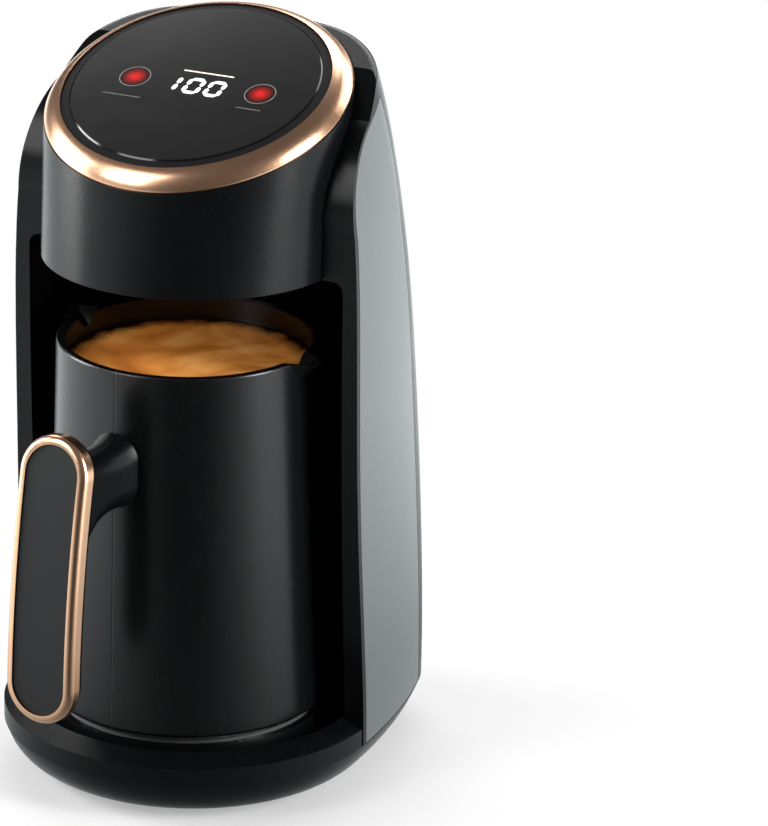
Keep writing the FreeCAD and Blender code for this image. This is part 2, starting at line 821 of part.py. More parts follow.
def make_heating():
    top = d.plate_z
    under = top - d.plate_thick
    hole = d.guide_radius + d.gap
    plate = turned_body(
        "hot_plate", (hole, under), (d.plate_radius - d.plate_skirt, under),
        (d.plate_radius - d.plate_skirt, d.moat_z), (d.plate_radius, d.moat_z),
        (d.plate_radius, top - 0.8), (d.plate_radius - 0.8, top), (hole, top), (hole, under),
    )
    node(seated(plate))
    gasket_out = d.plate_radius + d.plate_gap - 0.2
    gasket_in = d.plate_radius + 0.2
    gasket_top = d.stage_z + 0.6
    node(seated(turned_body(
        "plate_gasket", (gasket_in, d.moat_z), (gasket_out, d.moat_z), (gasket_out, gasket_top - 1),
        (gasket_out - 1, gasket_top), (gasket_in, gasket_top), (gasket_in, d.moat_z),
    )))
    tube_z = under - d.heater_tube
    ring = doc.addObject("Part::Torus", "heater_ring_tube")
    ring.setExpression("Radius1", d.heater_ring.text)
    ring.setExpression("Radius2", d.heater_tube.text)
    ring.setExpression("Angle3", d.heater_sweep.text)
    place(ring, 0, d.seat_y, tube_z, yaw=90 + (360 - d.heater_sweep) / 2)
    tails = []
    for index, side in enumerate((-1, 1)):
        spread = (360 - d.heater_sweep) / 2
        x = sine(spread) * d.heater_ring * side
        y = d.seat_y + cosine(spread) * d.heater_ring
        low = tube_z - d.heater_tail
        tails.append(cylinder(f"heater_tail_{index}", d.heater_tube - 0.6, d.heater_tail, x, y, low))
        pin = d.heater_pin_length
        tails.append(cylinder(f"heater_pin_{index}", d.heater_pin, pin + 1, x, y, low - pin))
    node(fuse_all("heating_element", [ring] + tails))

    # Cross strap that clamps the element and carries the guide of the sensor
    strap = new_body("plate_strap")
    strap_low = d.deck_low_z - d.strap_thick
    sketch = new_sketch(strap, "XY_Plane", strap_low)
    half_long = d.plate_seat + 4
    rectangle(sketch, -half_long, -d.strap_wide / 2, half_long, d.strap_wide / 2)
    circle(sketch, d.guide_radius + d.running_fit)
    pad(strap, sketch, d.strap_thick)
    node(seated(strap))
    node(seated(turned_body(
        "sensor_guide", (d.plunger_radius + d.running_fit, top - 1), (d.guide_radius, top - 1),
        (d.guide_radius, strap_low - d.close_gap), (d.guide_radius + 2.5, strap_low - d.close_gap),
        (d.guide_radius + 2.5, strap_low - 2.3), (d.guide_radius, strap_low - 2.3),
        (d.guide_radius, d.guide_low_z), (2.2, d.guide_low_z), (2.2, d.guide_low_z + 1.5),
        (d.plunger_flange + d.gap, d.guide_low_z + 1.5), (d.plunger_flange + d.gap, top - 5),
        (d.plunger_radius + d.running_fit, top - 5), (d.plunger_radius + d.running_fit, top - 1),
    )))
    flange_top = top - 5 - d.close_gap
    flange_low = flange_top - d.plunger_flange_thick
    head_top = d.jug_floor_z - d.plunger_top_gap
    node(seated(turned_body(
        "sensor_plunger", (0, flange_top - 6), (1.8, flange_top - 6), (1.8, flange_low),
        (d.plunger_flange, flange_low), (d.plunger_flange, flange_top),
        (d.plunger_radius, flange_top), (d.plunger_radius, head_top - 0.5),
        (d.plunger_radius - 0.5, head_top), (0, head_top), (0, flange_top - 6),
    )))
    spring_low = d.guide_low_z + 1.5 + d.close_gap
    spring_top = flange_low - d.close_gap
    node(seated(turned_body(
        "plunger_spring", (d.spring_inner, spring_low), (d.spring_outer, spring_low),
        (d.spring_outer, spring_top), (d.spring_inner, spring_top), (d.spring_inner, spring_low),
    )))
    can_z = under - d.cutout_height - d.close_gap
    node(fuse_all("thermostat", [
        cylinder("thermostat_can", d.cutout_radius, d.cutout_height, -d.cutout_x, d.seat_y, can_z),
        cylinder("thermostat_collar", d.collar_radius, 1.2, -d.cutout_x, d.seat_y, under - 1.3),
    ]))
    fuse_z = under - d.fuse_width - 0.2
    node(fuse_all("thermal_fuse", [
        block("fuse_body", d.fuse_length, d.fuse_width, d.fuse_width, d.cutout_x, d.seat_y, fuse_z),
        block("fuse_leads", d.fuse_length + 6, 1.2, 1.2, d.cutout_x, d.seat_y, fuse_z + 2.2),
    ]))


# Tower, niche and side panels

def panel_outline(sketch, grow):
    """The side panel as seen from the side: its front edge runs along the front face of the tower."""
    front = d.panel_margin - grow
    low = d.panel_low_z - grow
    outline(
        sketch, (d.front_low_y + front, low), (d.panel_low_y + grow, low),
        (d.panel_high_y + grow, d.panel_high_z, d.panel_back_arc, 1),
        (d.panel_tip_y + grow, d.panel_tip_z + grow, d.panel_tip_arc, 1),
        (d.front_bend_y + front * 0.2, d.front_bend_z - front * 0.45),
        (d.front_high_y + front, d.front_high_z, d.front_arc - front, 1),
        (d.front_low_y + front, low, d.front_bow, 1),
    )


def panel_window(name, grow):
    body = new_body(name)
    sketch = new_sketch(body, "YZ_Plane")
    panel_outline(sketch, as_size(grow))
    pad(body, sketch, d.base_radius * 3, both_ways=True)
    return body


def make_tower():
    outside = tower_form("tower_outside")
    round_edges(outside, d.roof_round, on_roof)
    inside = tower_form("tower_inside", d.tower_wall, d.tower_wall, d.tower_wall)
    shell = combine("Cut", "tower_hollow", outside, inside)

    # Opening of the niche, with round upper corners
    opening = new_body("bay_opening")
    sketch = new_sketch(opening, "XZ_Plane")
    half = d.bay_radius
    corner = d.bay_round
    outline(
        sketch, (-half, 0), (half, 0), (half, d.bay_top_z - corner), (half - corner, d.bay_top_z, corner, 1),
        (-half + corner, d.bay_top_z), (-half, d.bay_top_z - corner, corner, 1), (-half, 0),
    )
    pad(opening, sketch, 60, both_ways=True)
    head_space = head_form("head_space", d.gap)
    top_hole = cylinder("top_hole", d.top_opening, 40)
    below = d.tower_wall + 1
    place(top_hole, 0, d.top_y + sine(d.tilt) * below, d.top_z - cosine(d.tilt) * below, roll=d.tilt)

    # The sunk seats of the side panels reach as deep as the panels are thick
    seat_depth = d.panel_thick + 0.2
    bed = tower_form("panel_bed", seat_depth, -1, -8)
    seats = combine("Cut", "panel_seats", panel_window("seat_window", d.gap), bed)
    seated = combine("Cut", "tower_seated", shell, seats)
    openings = fuse_all("tower_openings", [opening, head_space, top_hole])
    backing = combine("Cut", "tower_open", seated, openings)

    rear = new_body("rear_half_space")
    sketch = new_sketch(rear, "XY_Plane")
    far = d.base_radius * 2
    rectangle(sketch, -far, d.split_y, far, far)
    pad(rear, sketch, d.split_z)
    rear_gap = new_body("rear_half_space_with_gap")
    sketch = new_sketch(rear_gap, "XY_Plane")
    rectangle(sketch, -far, d.split_y - d.close_gap, far, far)
    pad(rear_gap, sketch, d.split_z + d.close_gap)
    return backing, rear, rear_gap


def make_shells():
    backing, rear, rear_gap = make_tower()
    node(combine("Cut", "tower_shell", backing, rear_gap))
    gland_hole = cylinder("gland_hole", d.gland_body + 0.2, d.base_radius)
    place(gland_hole, 0, d.base_radius * 2, d.gland_z, roll=90)
    node(combine("Cut", "rear_cover", combine("Common", "rear_part", backing, rear), gland_hole))

    core = tower_form("panel_core", d.panel_thick, -1, -8)
    window = combine("Cut", "panel_plates", panel_window("inlay_window", 0), core)
    inlay = combine("Common", "panel_inlays", window, tower_form("panel_limit"))
    for name, sign in (("side_panel_left", -1), ("side_panel_right", 1)):
        half_space = new_body(name + "_half_space")
        sketch = new_sketch(half_space, "XY_Plane")
        middle = d.base_radius * sign
        far = d.base_radius * 2
        rectangle(sketch, middle - 50, -far, middle + 50, far)
        pad(half_space, sketch, d.above_all)
        node(combine("Common", name, inlay, half_space))


def make_bay_liner():
    liner = new_body("niche_walls")
    outer = d.bay_radius + 0.2 + d.thin_wall
    inner = d.bay_radius + 0.2
    sketch = new_sketch(liner, "XY_Plane", d.tower_z)
    far = Size(30, "30")
    outline(
        sketch, (outer, -far), (outer, d.seat_y), (0, d.seat_y + outer, outer, 1),
        (-outer, d.seat_y, outer, 1), (-outer, -far), (-inner, -far),
        (-inner, d.seat_y), (0, d.seat_y + inner, inner, -1), (inner, d.seat_y, inner, -1),
        (inner, -far), (outer, -far),
    )
    pad(liner, sketch, d.bay_top_z - d.tower_z)
    cut = new_sketch(liner, "YZ_Plane")
    front_outline(cut, d.tower_wall + 0.2, 60)
    pocket(liner, cut, d.base_radius * 3, both_ways=True)
    return liner


BOARD_STANDOFFS = [(-24, 40), (24, 40), (-24, 108), (24, 108)]


def make_niche():
    liner = make_bay_liner()
    standoffs = []
    for index, (x, z) in enumerate(BOARD_STANDOFFS):
        item = cylinder(f"standoff_{index}", d.standoff_radius, d.board_y - 40)
        place(item, x, d.board_y, z, roll=90)
        standoffs.append(item)
    void = cylinder("liner_void", d.bay_radius + 1, d.bay_top_z, 0, d.seat_y)
    pillars = combine("Cut", "standoff_group", fuse_all("standoff_cylinders", standoffs), void)
    node(fuse_all("bay_liner", [liner, pillars]))

    ceiling = new_body("ceiling_plate")
    low = d.bay_top_z + 0.1
    sketch = new_sketch(ceiling, "XY_Plane", low)
    circle(sketch, d.head_low_radius - d.wall - d.gap)
    pad(ceiling, sketch, d.thin_wall)
    back = new_sketch(ceiling, "XY_Plane", low)
    radius = d.bay_radius + 0.2 + d.thin_wall - 0.4
    front_y = d.front_high_y + d.tower_wall + 1.2
    outline(
        back, (-radius, front_y), (radius, front_y), (radius, d.seat_y + 4),
        (0, d.seat_y + radius, radius + 8, 1), (-radius, d.seat_y + 4, radius + 8, 1),
        (-radius, front_y),
    )
    pad(ceiling, back, d.thin_wall)
    window = new_sketch(ceiling, "XY_Plane", low)
    circle(window, d.sensor_window_radius)
    pocket(ceiling, window, 10, reverse=True)
    ceiling.Label = "head_underside"
    node(ceiling)
    node(turned_body(
        "sensor_window", (0, low - 0.6), (d.sensor_window_radius + 1.5, low - 0.6),
        (d.sensor_window_radius + 1.5, low - 0.1), (d.sensor_window_radius - 0.1, low - 0.1),
        (d.sensor_window_radius - 0.1, low + 2.2), (0, low + 2.2), (0, low - 0.6),
    ))
    node(fuse_all("foam_sensor", [
        block("foam_sensor_board", 30, 18, 1.6, 0, 0, low + d.thin_wall + 3.6),
        cylinder("foam_sensor_eye", 3.4, 3.5, -5, 0, low + d.thin_wall + 1),
        cylinder("foam_sensor_lamp", 2.2, 3, 5, 0, low + d.thin_wall + 1),
        block("foam_sensor_foot", 4, 14, 3.6, 12.5, 0, low + d.thin_wall),
        block("foam_sensor_foot_left", 4, 14, 3.6, -12.5, 0, low + d.thin_wall),
    ]))


def make_head():
    shell = combine("Cut", "head_hollow", head_form("head_outside", 0), head_form("head_inside", -d.wall))
    keep = new_body("head_front_space")
    sketch = new_sketch(keep, "YZ_Plane")
    front_outline(sketch, d.tower_wall + 0.5, d.base_radius * 2)
    pad(keep, sketch, d.base_radius * 3, both_ways=True)
    node(combine("Common", "head_shell", shell, keep))


def lay_on_slope(item, lift=0):
    """Stands a flat piece on the slanted top, lifted along the slanted axis."""
    lift = as_size(lift)
    place(item, 0, d.top_y - lift * sine(d.tilt), d.top_z + lift * cosine(d.tilt), roll=d.tilt)
    return item


def make_control_panel():
    ring = turned_body(
        "trim_ring", (d.ring_radius - 2.2, 0.1), (d.ring_radius, 0.1), (d.ring_radius, 0.9),
        (d.ring_inner, d.ring_height, d.ring_arc, 1), (d.ring_inner - 0.1, d.ring_height - 1.8),
        (d.ring_radius - 2.2, 0.1),
    )
    node(lay_on_slope(ring))
    glass_top = d.glass_low + d.glass_thick
    glass = turned_body(
        "glass_panel", (0, d.glass_low), (d.glass_radius - 0.3, d.glass_low),
        (d.glass_radius, d.glass_low + 0.3), (d.glass_radius, glass_top - 0.5),
        (d.glass_radius - 0.5, glass_top), (0, glass_top), (0, d.glass_low),
    )
    node(lay_on_slope(glass))
    gasket = turned_body(
        "panel_gasket", (d.glass_radius + 0.1, 3.4), (d.ring_inner - 0.3, 3.4),
        (d.ring_inner - 0.3, glass_top - 1), (d.glass_radius + 0.1, glass_top - 0.4),
        (d.glass_radius + 0.1, 3.4),
    )
    node(lay_on_slope(gasket))
    shelf = d.glass_low - 1.3
    carrier = turned_body(
        "display_carrier", (d.carrier_radius - d.thin_wall, -d.carrier_deep),
        (d.carrier_radius, -d.carrier_deep), (d.carrier_radius, 1),
        (d.carrier_radius - 1.8, shelf), (d.glass_radius - 4, shelf), (d.glass_radius - 4, shelf - 1.6),
        (d.carrier_radius - d.thin_wall - 1.6, shelf - 1.6), (d.carrier_radius - d.thin_wall, -2),
        (d.carrier_radius - d.thin_wall, -d.carrier_deep),
    )
    node(lay_on_slope(carrier))
    board = new_body("display_board")
    sketch = new_sketch(board, "XY_Plane", -d.carrier_deep + 1)
    circle(sketch, d.carrier_radius - d.thin_wall - 0.2)
    for x, y in ((-40, 0), (40, 0)):
        circle(sketch, 1.6, x, y)
    pad(board, sketch, d.board_thick)
    node(lay_on_slope(board))
    face = -d.carrier_deep + 1 + d.board_thick
    stack = d.glass_low - face
    module = new_body("display_module")
    sketch = new_sketch(module, "XY_Plane", face)
    rectangle(
        sketch, d.display_shift - d.display_wide / 2, -d.display_tall / 2,
        d.display_shift + d.display_wide / 2, d.display_tall / 2,
    )
    pad(module, sketch, stack - 0.3)
    node(lay_on_slope(module))
    for name, side in (("touch_pad_left", -1), ("touch_pad_right", 1)):
        touch = new_body(name)
        sketch = new_sketch(touch, "XY_Plane", face)
        circle(sketch, d.key_radius, d.key_shift + d.key_spacing / 2 * side)
        circle(sketch, d.key_radius - d.key_ring, d.key_shift + d.key_spacing / 2 * side)
        pad(touch, sketch, stack - 0.3)
        node(lay_on_slope(touch))
    lamps = new_body("key_lamps")
    sketch = new_sketch(lamps, "XY_Plane", face)
    for side in (-1, 1):
        circle(sketch, d.lamp_radius, d.key_shift + d.key_spacing / 2 * side)
    pad(lamps, sketch, d.lamp_height)
    node(lay_on_slope(lamps))
    buzzer = new_body("buzzer")
    sketch = new_sketch(buzzer, "XY_Plane", -d.carrier_deep + 1 - d.buzzer_height)
    circle(sketch, d.buzzer_radius, -12, -16)
    pad(buzzer, sketch, d.buzzer_height)
    node(lay_on_slope(buzzer))


def make_electronics():
    board_y = d.board_y + d.close_gap
    face = board_y + d.board_thick
    board = new_body("control_board")
    sketch = new_sketch(board, "XZ_Plane", -face)
    rectangle(sketch, -d.board_half_wide, d.board_low_z, d.board_half_wide, d.board_high_z)
    for x, z in BOARD_STANDOFFS:
        circle(sketch, d.standoff_radius / 2, x, z)
    pad(board, sketch, d.board_thick)
    node(board)
    for name, wide, deep, tall, x, z in (
        ("relay", d.relay_wide, d.relay_deep, d.relay_tall, -12, 76),
        ("power_transformer", d.supply_wide, d.supply_deep, d.supply_tall, 13, 80),
    ):
        node(block(name, wide, deep, tall, x, face + deep / 2, z))
    can = d.capacitor_radius
    node(cylinder("filter_capacitor", can, d.capacitor_tall, -16, face + can, 100))
    deep = d.terminal_deep
    step_z = 44 + d.terminal_tall
    node(fuse_all("terminal_block", [
        block("terminal_body", d.terminal_wide, deep, d.terminal_tall, 0, face + deep / 2, 44),
        block("terminal_step", d.terminal_wide, deep / 2, 4, 0, face + deep / 4, step_z),
    ]))


def make_gland():
    flange = d.gland_flange_thick
    shoulder = flange + d.tower_wall + 0.8
    end = shoulder + flange
    gland = turned_body(
        "cord_gland", (d.gland_bore, 0), (d.gland_flange, 0), (d.gland_flange, flange),
        (d.gland_body, flange), (d.gland_body, shoulder), (d.gland_body + 1.4, shoulder),
        (d.gland_body + 1.4, end), (d.gland_bore, end), (d.gland_bore, 0),
    )
    place(gland, 0, rear_reach(d.base_radius, d.low_depth) + flange - 0.2, d.gland_z, roll=90)
    node(gland)


# Jug

def jug_wall_radius(height):
    """Outer radius of the tapered jug wall at a height."""
    share = (height - d.jug_floor_z) / (d.jug_rim_z - d.jug_floor_z)
    return d.jug_low_radius + (d.jug_rim_radius - d.jug_low_radius) * share


def stand_jug(item, z=0):
    place(item, 0, d.seat_y, z, yaw=d.jug_turn)
    return node(item)


def spout_sketch(body, side, height, reach, half, inset):
    sketch = new_sketch(body, "XY_Plane", height)
    root_x = 30
    tip = reach - inset
    flank = half - inset
    nose = flank / 3
    outline(
        sketch, (root_x * side, -flank * side), ((tip - nose) * side, -nose * side),
        ((tip - nose) * side, nose * side, nose * 1.15, 1), (root_x * side, flank * side),
        (root_x * side, -flank * side),
    )
    return sketch


def make_jug():
    floor = d.jug_floor_z
    rim = d.jug_rim_z
    wall = d.jug_wall
    step_z = d.liner_top_z + d.seal_height + 0.1
    shell = turned_body(
        "jug_shell", (0, floor), (d.jug_low_radius - 1.4, floor), (d.jug_low_radius, floor + 1.4, 1.6, 1),
        (d.jug_rim_radius, rim - 0.8), (d.jug_rim_radius - 0.8, rim, 0.9, 1), (0, rim), (0, floor),
    )
    top_reach = d.jug_rim_radius + d.spout_reach
    low_reach = jug_wall_radius(d.spout_low_z) - 0.6
    for side in (-1, 1):
        loft(shell, [
            spout_sketch(shell, side, d.spout_low_z, low_reach, as_size(4), 0),
            spout_sketch(shell, side, rim, top_reach, d.spout_half_wide, 0),
        ])
    hollow = new_sketch(shell, "XZ_Plane")
    lip_inner = jug_wall_radius(rim) - wall - d.liner_wall - d.close_gap
    step_radius = jug_wall_radius(step_z) - wall
    outline(
        hollow, (0, floor - 1), (jug_wall_radius(floor) - wall, floor - 1),
        (step_radius, step_z), (step_radius - d.liner_wall - 0.2, step_z),
        (lip_inner, rim - 1.2), (lip_inner + 1.2, rim + 1), (0, rim + 1), (0, floor - 1),
    )
    groove(shell, hollow)
    inner_low_z = d.spout_low_z + d.spout_drop / 3
    for side in (-1, 1):
        loft(shell, [
            spout_sketch(shell, side, inner_low_z, jug_wall_radius(d.spout_low_z) - 1.6, as_size(5), 1.6),
            spout_sketch(shell, side, rim + 0.01, top_reach, d.spout_half_wide, d.spout_skin),
        ], cut=True)
    stand_jug(shell)

    disc_top = floor + d.jug_disc_thick
    disc_radius = jug_wall_radius(floor) - wall - d.close_gap
    stand_jug(turned_body(
        "jug_base_disc", (0, floor), (disc_radius - 1, floor), (disc_radius, floor + 1),
        (disc_radius, disc_top - 0.3), (disc_radius - 0.3, disc_top), (0, disc_top), (0, floor),
    ))
    low = disc_top + 0.1
    bend = d.liner_bend
    out_low = jug_wall_radius(low + bend) - wall - d.close_gap
    out_top = jug_wall_radius(d.liner_top_z) - wall - d.close_gap
    skin = d.liner_wall
    stand_jug(turned_body(
        "jug_liner", (0, low), (out_low - bend, low), (out_low, low + bend, bend + 0.2, 1),
        (out_top, d.liner_top_z), (out_top - skin, d.liner_top_z), (out_low - skin, low + bend + 0.2),
        (out_low - bend, low + skin, bend, -1), (0, low + skin), (0, low),
    ))
    seal_low = d.liner_top_z + 0.05
    stand_jug(turned_body(
        "rim_seal", (out_top - skin, seal_low), (out_top - 0.1, seal_low),
        (out_top - 0.1, seal_low + d.seal_height), (out_top - skin, seal_low + d.seal_height),
        (out_top - skin, seal_low),
    ))


# Handle of the jug: layers of one upright slot, bowed from top to bottom

def grip_layer(name, inset, front, back, hole_inset=None):
    """The slot outline between two bowed faces, front and back given outward from the bow's ends."""
    body = new_body(name)
    half = d.grip_length / 2 + 6
    # The bow keeps one centre, so each face has its own radius
    front_radius = d.grip_bow + front
    back_radius = d.grip_bow + back
    centre = d.grip_crown - d.grip_bow
    front_end = centre + root(front_radius * front_radius - half * half)
    back_end = centre + root(back_radius * back_radius - half * half)
    sketch = new_sketch(body, "YZ_Plane")
    outline(
        sketch, (-half, back_end), (-half, front_end), (half, front_end, front_radius, -1),
        (half, back_end), (-half, back_end, back_radius, 1),
    )
    pad(body, sketch, d.grip_width * 2, both_ways=True)
    around = new_sketch(body, "XY_Plane", -60)
    rectangle(around, -60, -90, 60, 90)
    stadium(around, d.grip_width - 2 * as_size(inset), d.grip_length - 2 * as_size(inset))
    pocket(body, around, 120, reverse=True)
    if hole_inset is not None:
        inner = new_sketch(body, "XY_Plane", -60)
        stadium(inner, d.grip_width - 2 * as_size(hole_inset), d.grip_length - 2 * as_size(hole_inset))
        pocket(body, inner, 120, reverse=True)
    return body


def hang_grip(item):
    place(
        item, sine(d.jug_turn) * d.grip_reach, d.seat_y - cosine(d.jug_turn) * d.grip_reach, d.grip_mid_z,
        yaw=d.jug_turn, roll=90 - d.grip_lean,
    )
    return item


def make_handle():
    trim = grip_layer("handle_trim", 0, 0, -d.trim_deep, d.trim_wide)
    middle = d.grip_width.value / 2 - d.trim_wide.value / 2
    straight = d.grip_length.value / 2 - d.grip_width.value / 2

    def outer_front(edge):
        point = edge.valueAt((edge.FirstParameter + edge.LastParameter) / 2)
        return edge.BoundBox.ZMin > -1 and math.hypot(point.x, max(abs(point.y) - straight, 0)) > middle

    round_edges(trim, d.trim_round, outer_front)
    node(hang_grip(trim))
    node(hang_grip(grip_layer(
        "handle_inlay", d.trim_wide + 0.15, -d.inlay_sunk, -(d.inlay_sunk + d.inlay_deep),
    )))
    core_front = d.inlay_sunk + d.inlay_deep + d.close_gap
    core = grip_layer("grip_core", d.trim_wide + 0.15, -core_front, -(d.trim_deep + 2))
    back = grip_layer("grip_back", d.grip_inset, -(d.trim_deep + d.close_gap), -d.grip_deep)
    back_edge = (d.grip_crown - d.grip_deep).value + 1
    round_edges(back, d.grip_round, lambda edge: edge.BoundBox.ZMax < back_edge)
    grip = fuse_all("grip_body", [hang_grip(core), hang_grip(back)])

    neck = new_body("neck_loft")
    grip_y = d.grip_reach - d.grip_deep + 2
    wide = d.neck_half_wide
    tall = d.neck_half_tall
    stations = (
        (d.jug_rim_radius - 4, d.neck_z + 0.5, wide + d.neck_flare, tall + d.neck_flare),
        (d.jug_rim_radius + 8, d.neck_z - 0.5, wide - 0.4, tall - 1.2),
        (grip_y - 12, d.neck_z - 1, wide - 0.4, tall + 0.5),
        (grip_y - 3, d.neck_z - 2.5, wide + 0.4, tall + 5.5),
    )
    sections = []
    for reach, middle, half_wide, half_tall in stations:
        sketch = new_sketch(neck, "XZ_Plane", reach)
        side = half_tall - half_wide
        outline(
            sketch, (half_wide, middle - side), (half_wide, middle + side),
            (0, middle + half_tall, half_wide, 1), (-half_wide, middle + side, half_wide, 1),
            (-half_wide, middle - side), (0, middle - half_tall, half_wide, 1),
            (half_wide, middle - side, half_wide, 1),
        )
        sections.append(sketch)
    loft(neck, sections)
    place(neck, 0, d.seat_y, 0, yaw=d.jug_turn)
    body = fuse_all("handle_solid", [grip, neck])
    void = turned_body(
        "jug_outer_space", (0, d.jug_floor_z), (d.jug_low_radius + 0.05, d.jug_floor_z),
        (d.jug_rim_radius + 0.05, d.jug_rim_z), (0, d.jug_rim_z), (0, d.jug_floor_z),
    )
    place(void, 0, d.seat_y, 0, yaw=d.jug_turn)
    bores = []
    bolts = []
    for index, z in enumerate((d.neck_z + 5.5, d.neck_z - 6.5)):
        reach = d.jug_rim_radius + 1
        length = d.grip_reach - 9 - reach
        head_reach = reach + length
        for name, radius, start, size, group in (
            ("bore", d.bolt_radius + 0.15, reach - 4, length + 4.5, bores),
            ("head_bore", d.bolt_head_radius + 0.4, head_reach - d.close_gap, 20, bores),
            ("shank", d.bolt_radius, reach, length, bolts),
            ("head", d.bolt_head_radius, head_reach, d.bolt_head_thick, bolts),
        ):
            item = cylinder(f"{name}_{index}", radius, size)
            y = d.seat_y - cosine(d.jug_turn) * start
            place(item, sine(d.jug_turn) * start, y, z, yaw=d.jug_turn, roll=90)
            group.append(item)
    cleared = combine("Cut", "handle_cleared", body, void)
    node(combine("Cut", "handle_body", cleared, fuse_all("bolt_bores", bores)))
    node(fuse_all("handle_bolts", bolts))


make_base()
make_deck()
make_heating()
make_shells()
make_niche()
make_head()
make_control_panel()
make_electronics()
make_gland()
make_jug()
make_handle()
doc.recompute()


# Checks, centring and files

def check_document():
    faults = []
    for item in doc.Objects:
        if "Invalid" in item.State or "Error" in item.State:
            faults.append(f"{item.Label}: {item.State}")
    for item in NODES:
        if item.Shape.isNull() or not item.Shape.isValid():
            faults.append(f"{item.Label}: bad shape")
    if faults:
        raise RuntimeError("; ".join(faults))


check_document()
front = min(item.Shape.optimalBoundingBox().YMin for item in NODES)
back = max(item.Shape.optimalBoundingBox().YMax for item in NODES)
middle = -(front + back) / 2
print("moved back by", round(middle, 3))
os.makedirs("parts", exist_ok=True)
for item in NODES:
    shape = item.Shape.copy()
    shape.translate(FreeCAD.Vector(0, middle, 0))
    shape.exportStep(os.path.join("parts", item.Label + ".step"))
print(len(NODES), "nodes")
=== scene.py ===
import math

import bmesh
import bpy
import numpy as np
from mathutils import Euler, Matrix, Vector


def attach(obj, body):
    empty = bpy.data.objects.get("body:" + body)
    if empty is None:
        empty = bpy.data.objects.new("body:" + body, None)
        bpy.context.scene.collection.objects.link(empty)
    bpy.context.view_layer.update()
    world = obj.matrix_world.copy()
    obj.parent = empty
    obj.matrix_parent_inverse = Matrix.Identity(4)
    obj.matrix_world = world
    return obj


# Electric turkish coffee maker. Metres, +Z up, the jug's handle to the front at -Y.
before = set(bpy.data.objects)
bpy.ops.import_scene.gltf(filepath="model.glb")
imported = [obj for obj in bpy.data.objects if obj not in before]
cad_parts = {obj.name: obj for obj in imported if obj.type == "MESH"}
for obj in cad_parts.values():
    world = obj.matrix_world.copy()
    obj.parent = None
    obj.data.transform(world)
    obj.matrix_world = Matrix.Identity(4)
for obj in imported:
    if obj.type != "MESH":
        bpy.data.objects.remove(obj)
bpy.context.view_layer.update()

# Places that the solids fix
JUG_AXIS_Y = -0.00182
JUG_TURN = math.radians(-6.35)
PANEL_TILT = math.radians(20.8)
PANEL_CENTRE = (0.0, 0.00538, 0.2465)
GLASS_TOP = 0.0066

BLACK = (0.0, 0.0, 0.0)
WHITE = (1.0, 1.0, 1.0)
FULL_TURN = 2.0 * math.pi


# Shader graphs

class Graph:
    """A short way to add nodes to a material, world or node group and to fill their sockets."""

    def __init__(self, tree):
        self.tree = tree

    def fill(self, node, sockets):
        """Joins each socket to the output given for it, or sets it to the value. Colours have no alpha."""
        for name, value in sockets.items():
            socket = node.inputs[name]
            if isinstance(value, bpy.types.NodeSocket):
                self.tree.links.new(value, socket)
            elif socket.type == "RGBA":
                socket.default_value = (*value, 1.0)
            else:
                socket.default_value = value
        return node

    def add(self, kind, sockets=None, **settings):
        made = self.tree.nodes.new(kind)
        for name, value in settings.items():
            setattr(made, name, value)
        return self.fill(made, sockets or {})

    def number(self, operation, first, second=0.0, clamp=False):
        made = self.add("ShaderNodeMath", {0: first, 1: second}, operation=operation, use_clamp=clamp)
        return made.outputs[0]

    def vector(self, operation, first, second):
        return self.add("ShaderNodeVectorMath", {0: first, 1: second}, operation=operation).outputs

    def ramp(self, factor, low, high, out_low=0.0, out_high=1.0):
        """Stretches a value from low..high to out_low..out_high and stops it at both ends."""
        sockets = {"Value": factor, "From Min": low, "From Max": high, "To Min": out_low, "To Max": out_high}
        return self.add("ShaderNodeMapRange", sockets, clamp=True).outputs["Result"]

    def blend(self, factor, first, second):
        """Mixes two colours, from the first at 0 to the second at 1."""
        sockets = {"Factor": factor, "A": first, "B": second}
        return self.add("ShaderNodeMix", sockets, data_type="RGBA").outputs["Result"]

    def stops(self, factor, stops):
        """A colour ramp through (position, colour) stops."""
        made = self.add("ShaderNodeValToRGB", {"Fac": factor})
        elements = made.color_ramp.elements
        for index, (where, colour) in enumerate(stops):
            stop = elements[index] if index < 2 else elements.new(where)
            stop.position = where
            stop.color = (*colour, 1.0)
        return made.outputs["Color"]

    def noise(self, place, scale, detail=3.0, rough=0.5, distortion=0.0):
        sockets = {"Vector": place, "Scale": scale, "Detail": detail, "Roughness": rough,
                   "Distortion": distortion}
        return self.add("ShaderNodeTexNoise", sockets, noise_dimensions="3D").outputs["Fac"]

    def cells(self, place, scale, **settings):
        """Distance to the nearest centre, or border, of cells scattered in space."""
        sockets = {"Vector": place, "Scale": scale}
        return self.add("ShaderNodeTexVoronoi", sockets, **settings).outputs["Distance"]

    def about_jug_axis(self, place):
        """Coordinates whose Z axis is the axis of the jug and the hot plate."""
        sockets = {"Vector": place, "Location": (0.0, -JUG_AXIS_Y, 0.0)}
        return self.add("ShaderNodeMapping", sockets, vector_type="POINT").outputs["Vector"]


def empty_graph(owner):
    """The graph of a material or world, with the nodes that it starts with taken out."""
    owner.use_nodes = True
    for item in list(owner.node_tree.nodes):
        owner.node_tree.nodes.remove(item)
    return Graph(owner.node_tree)


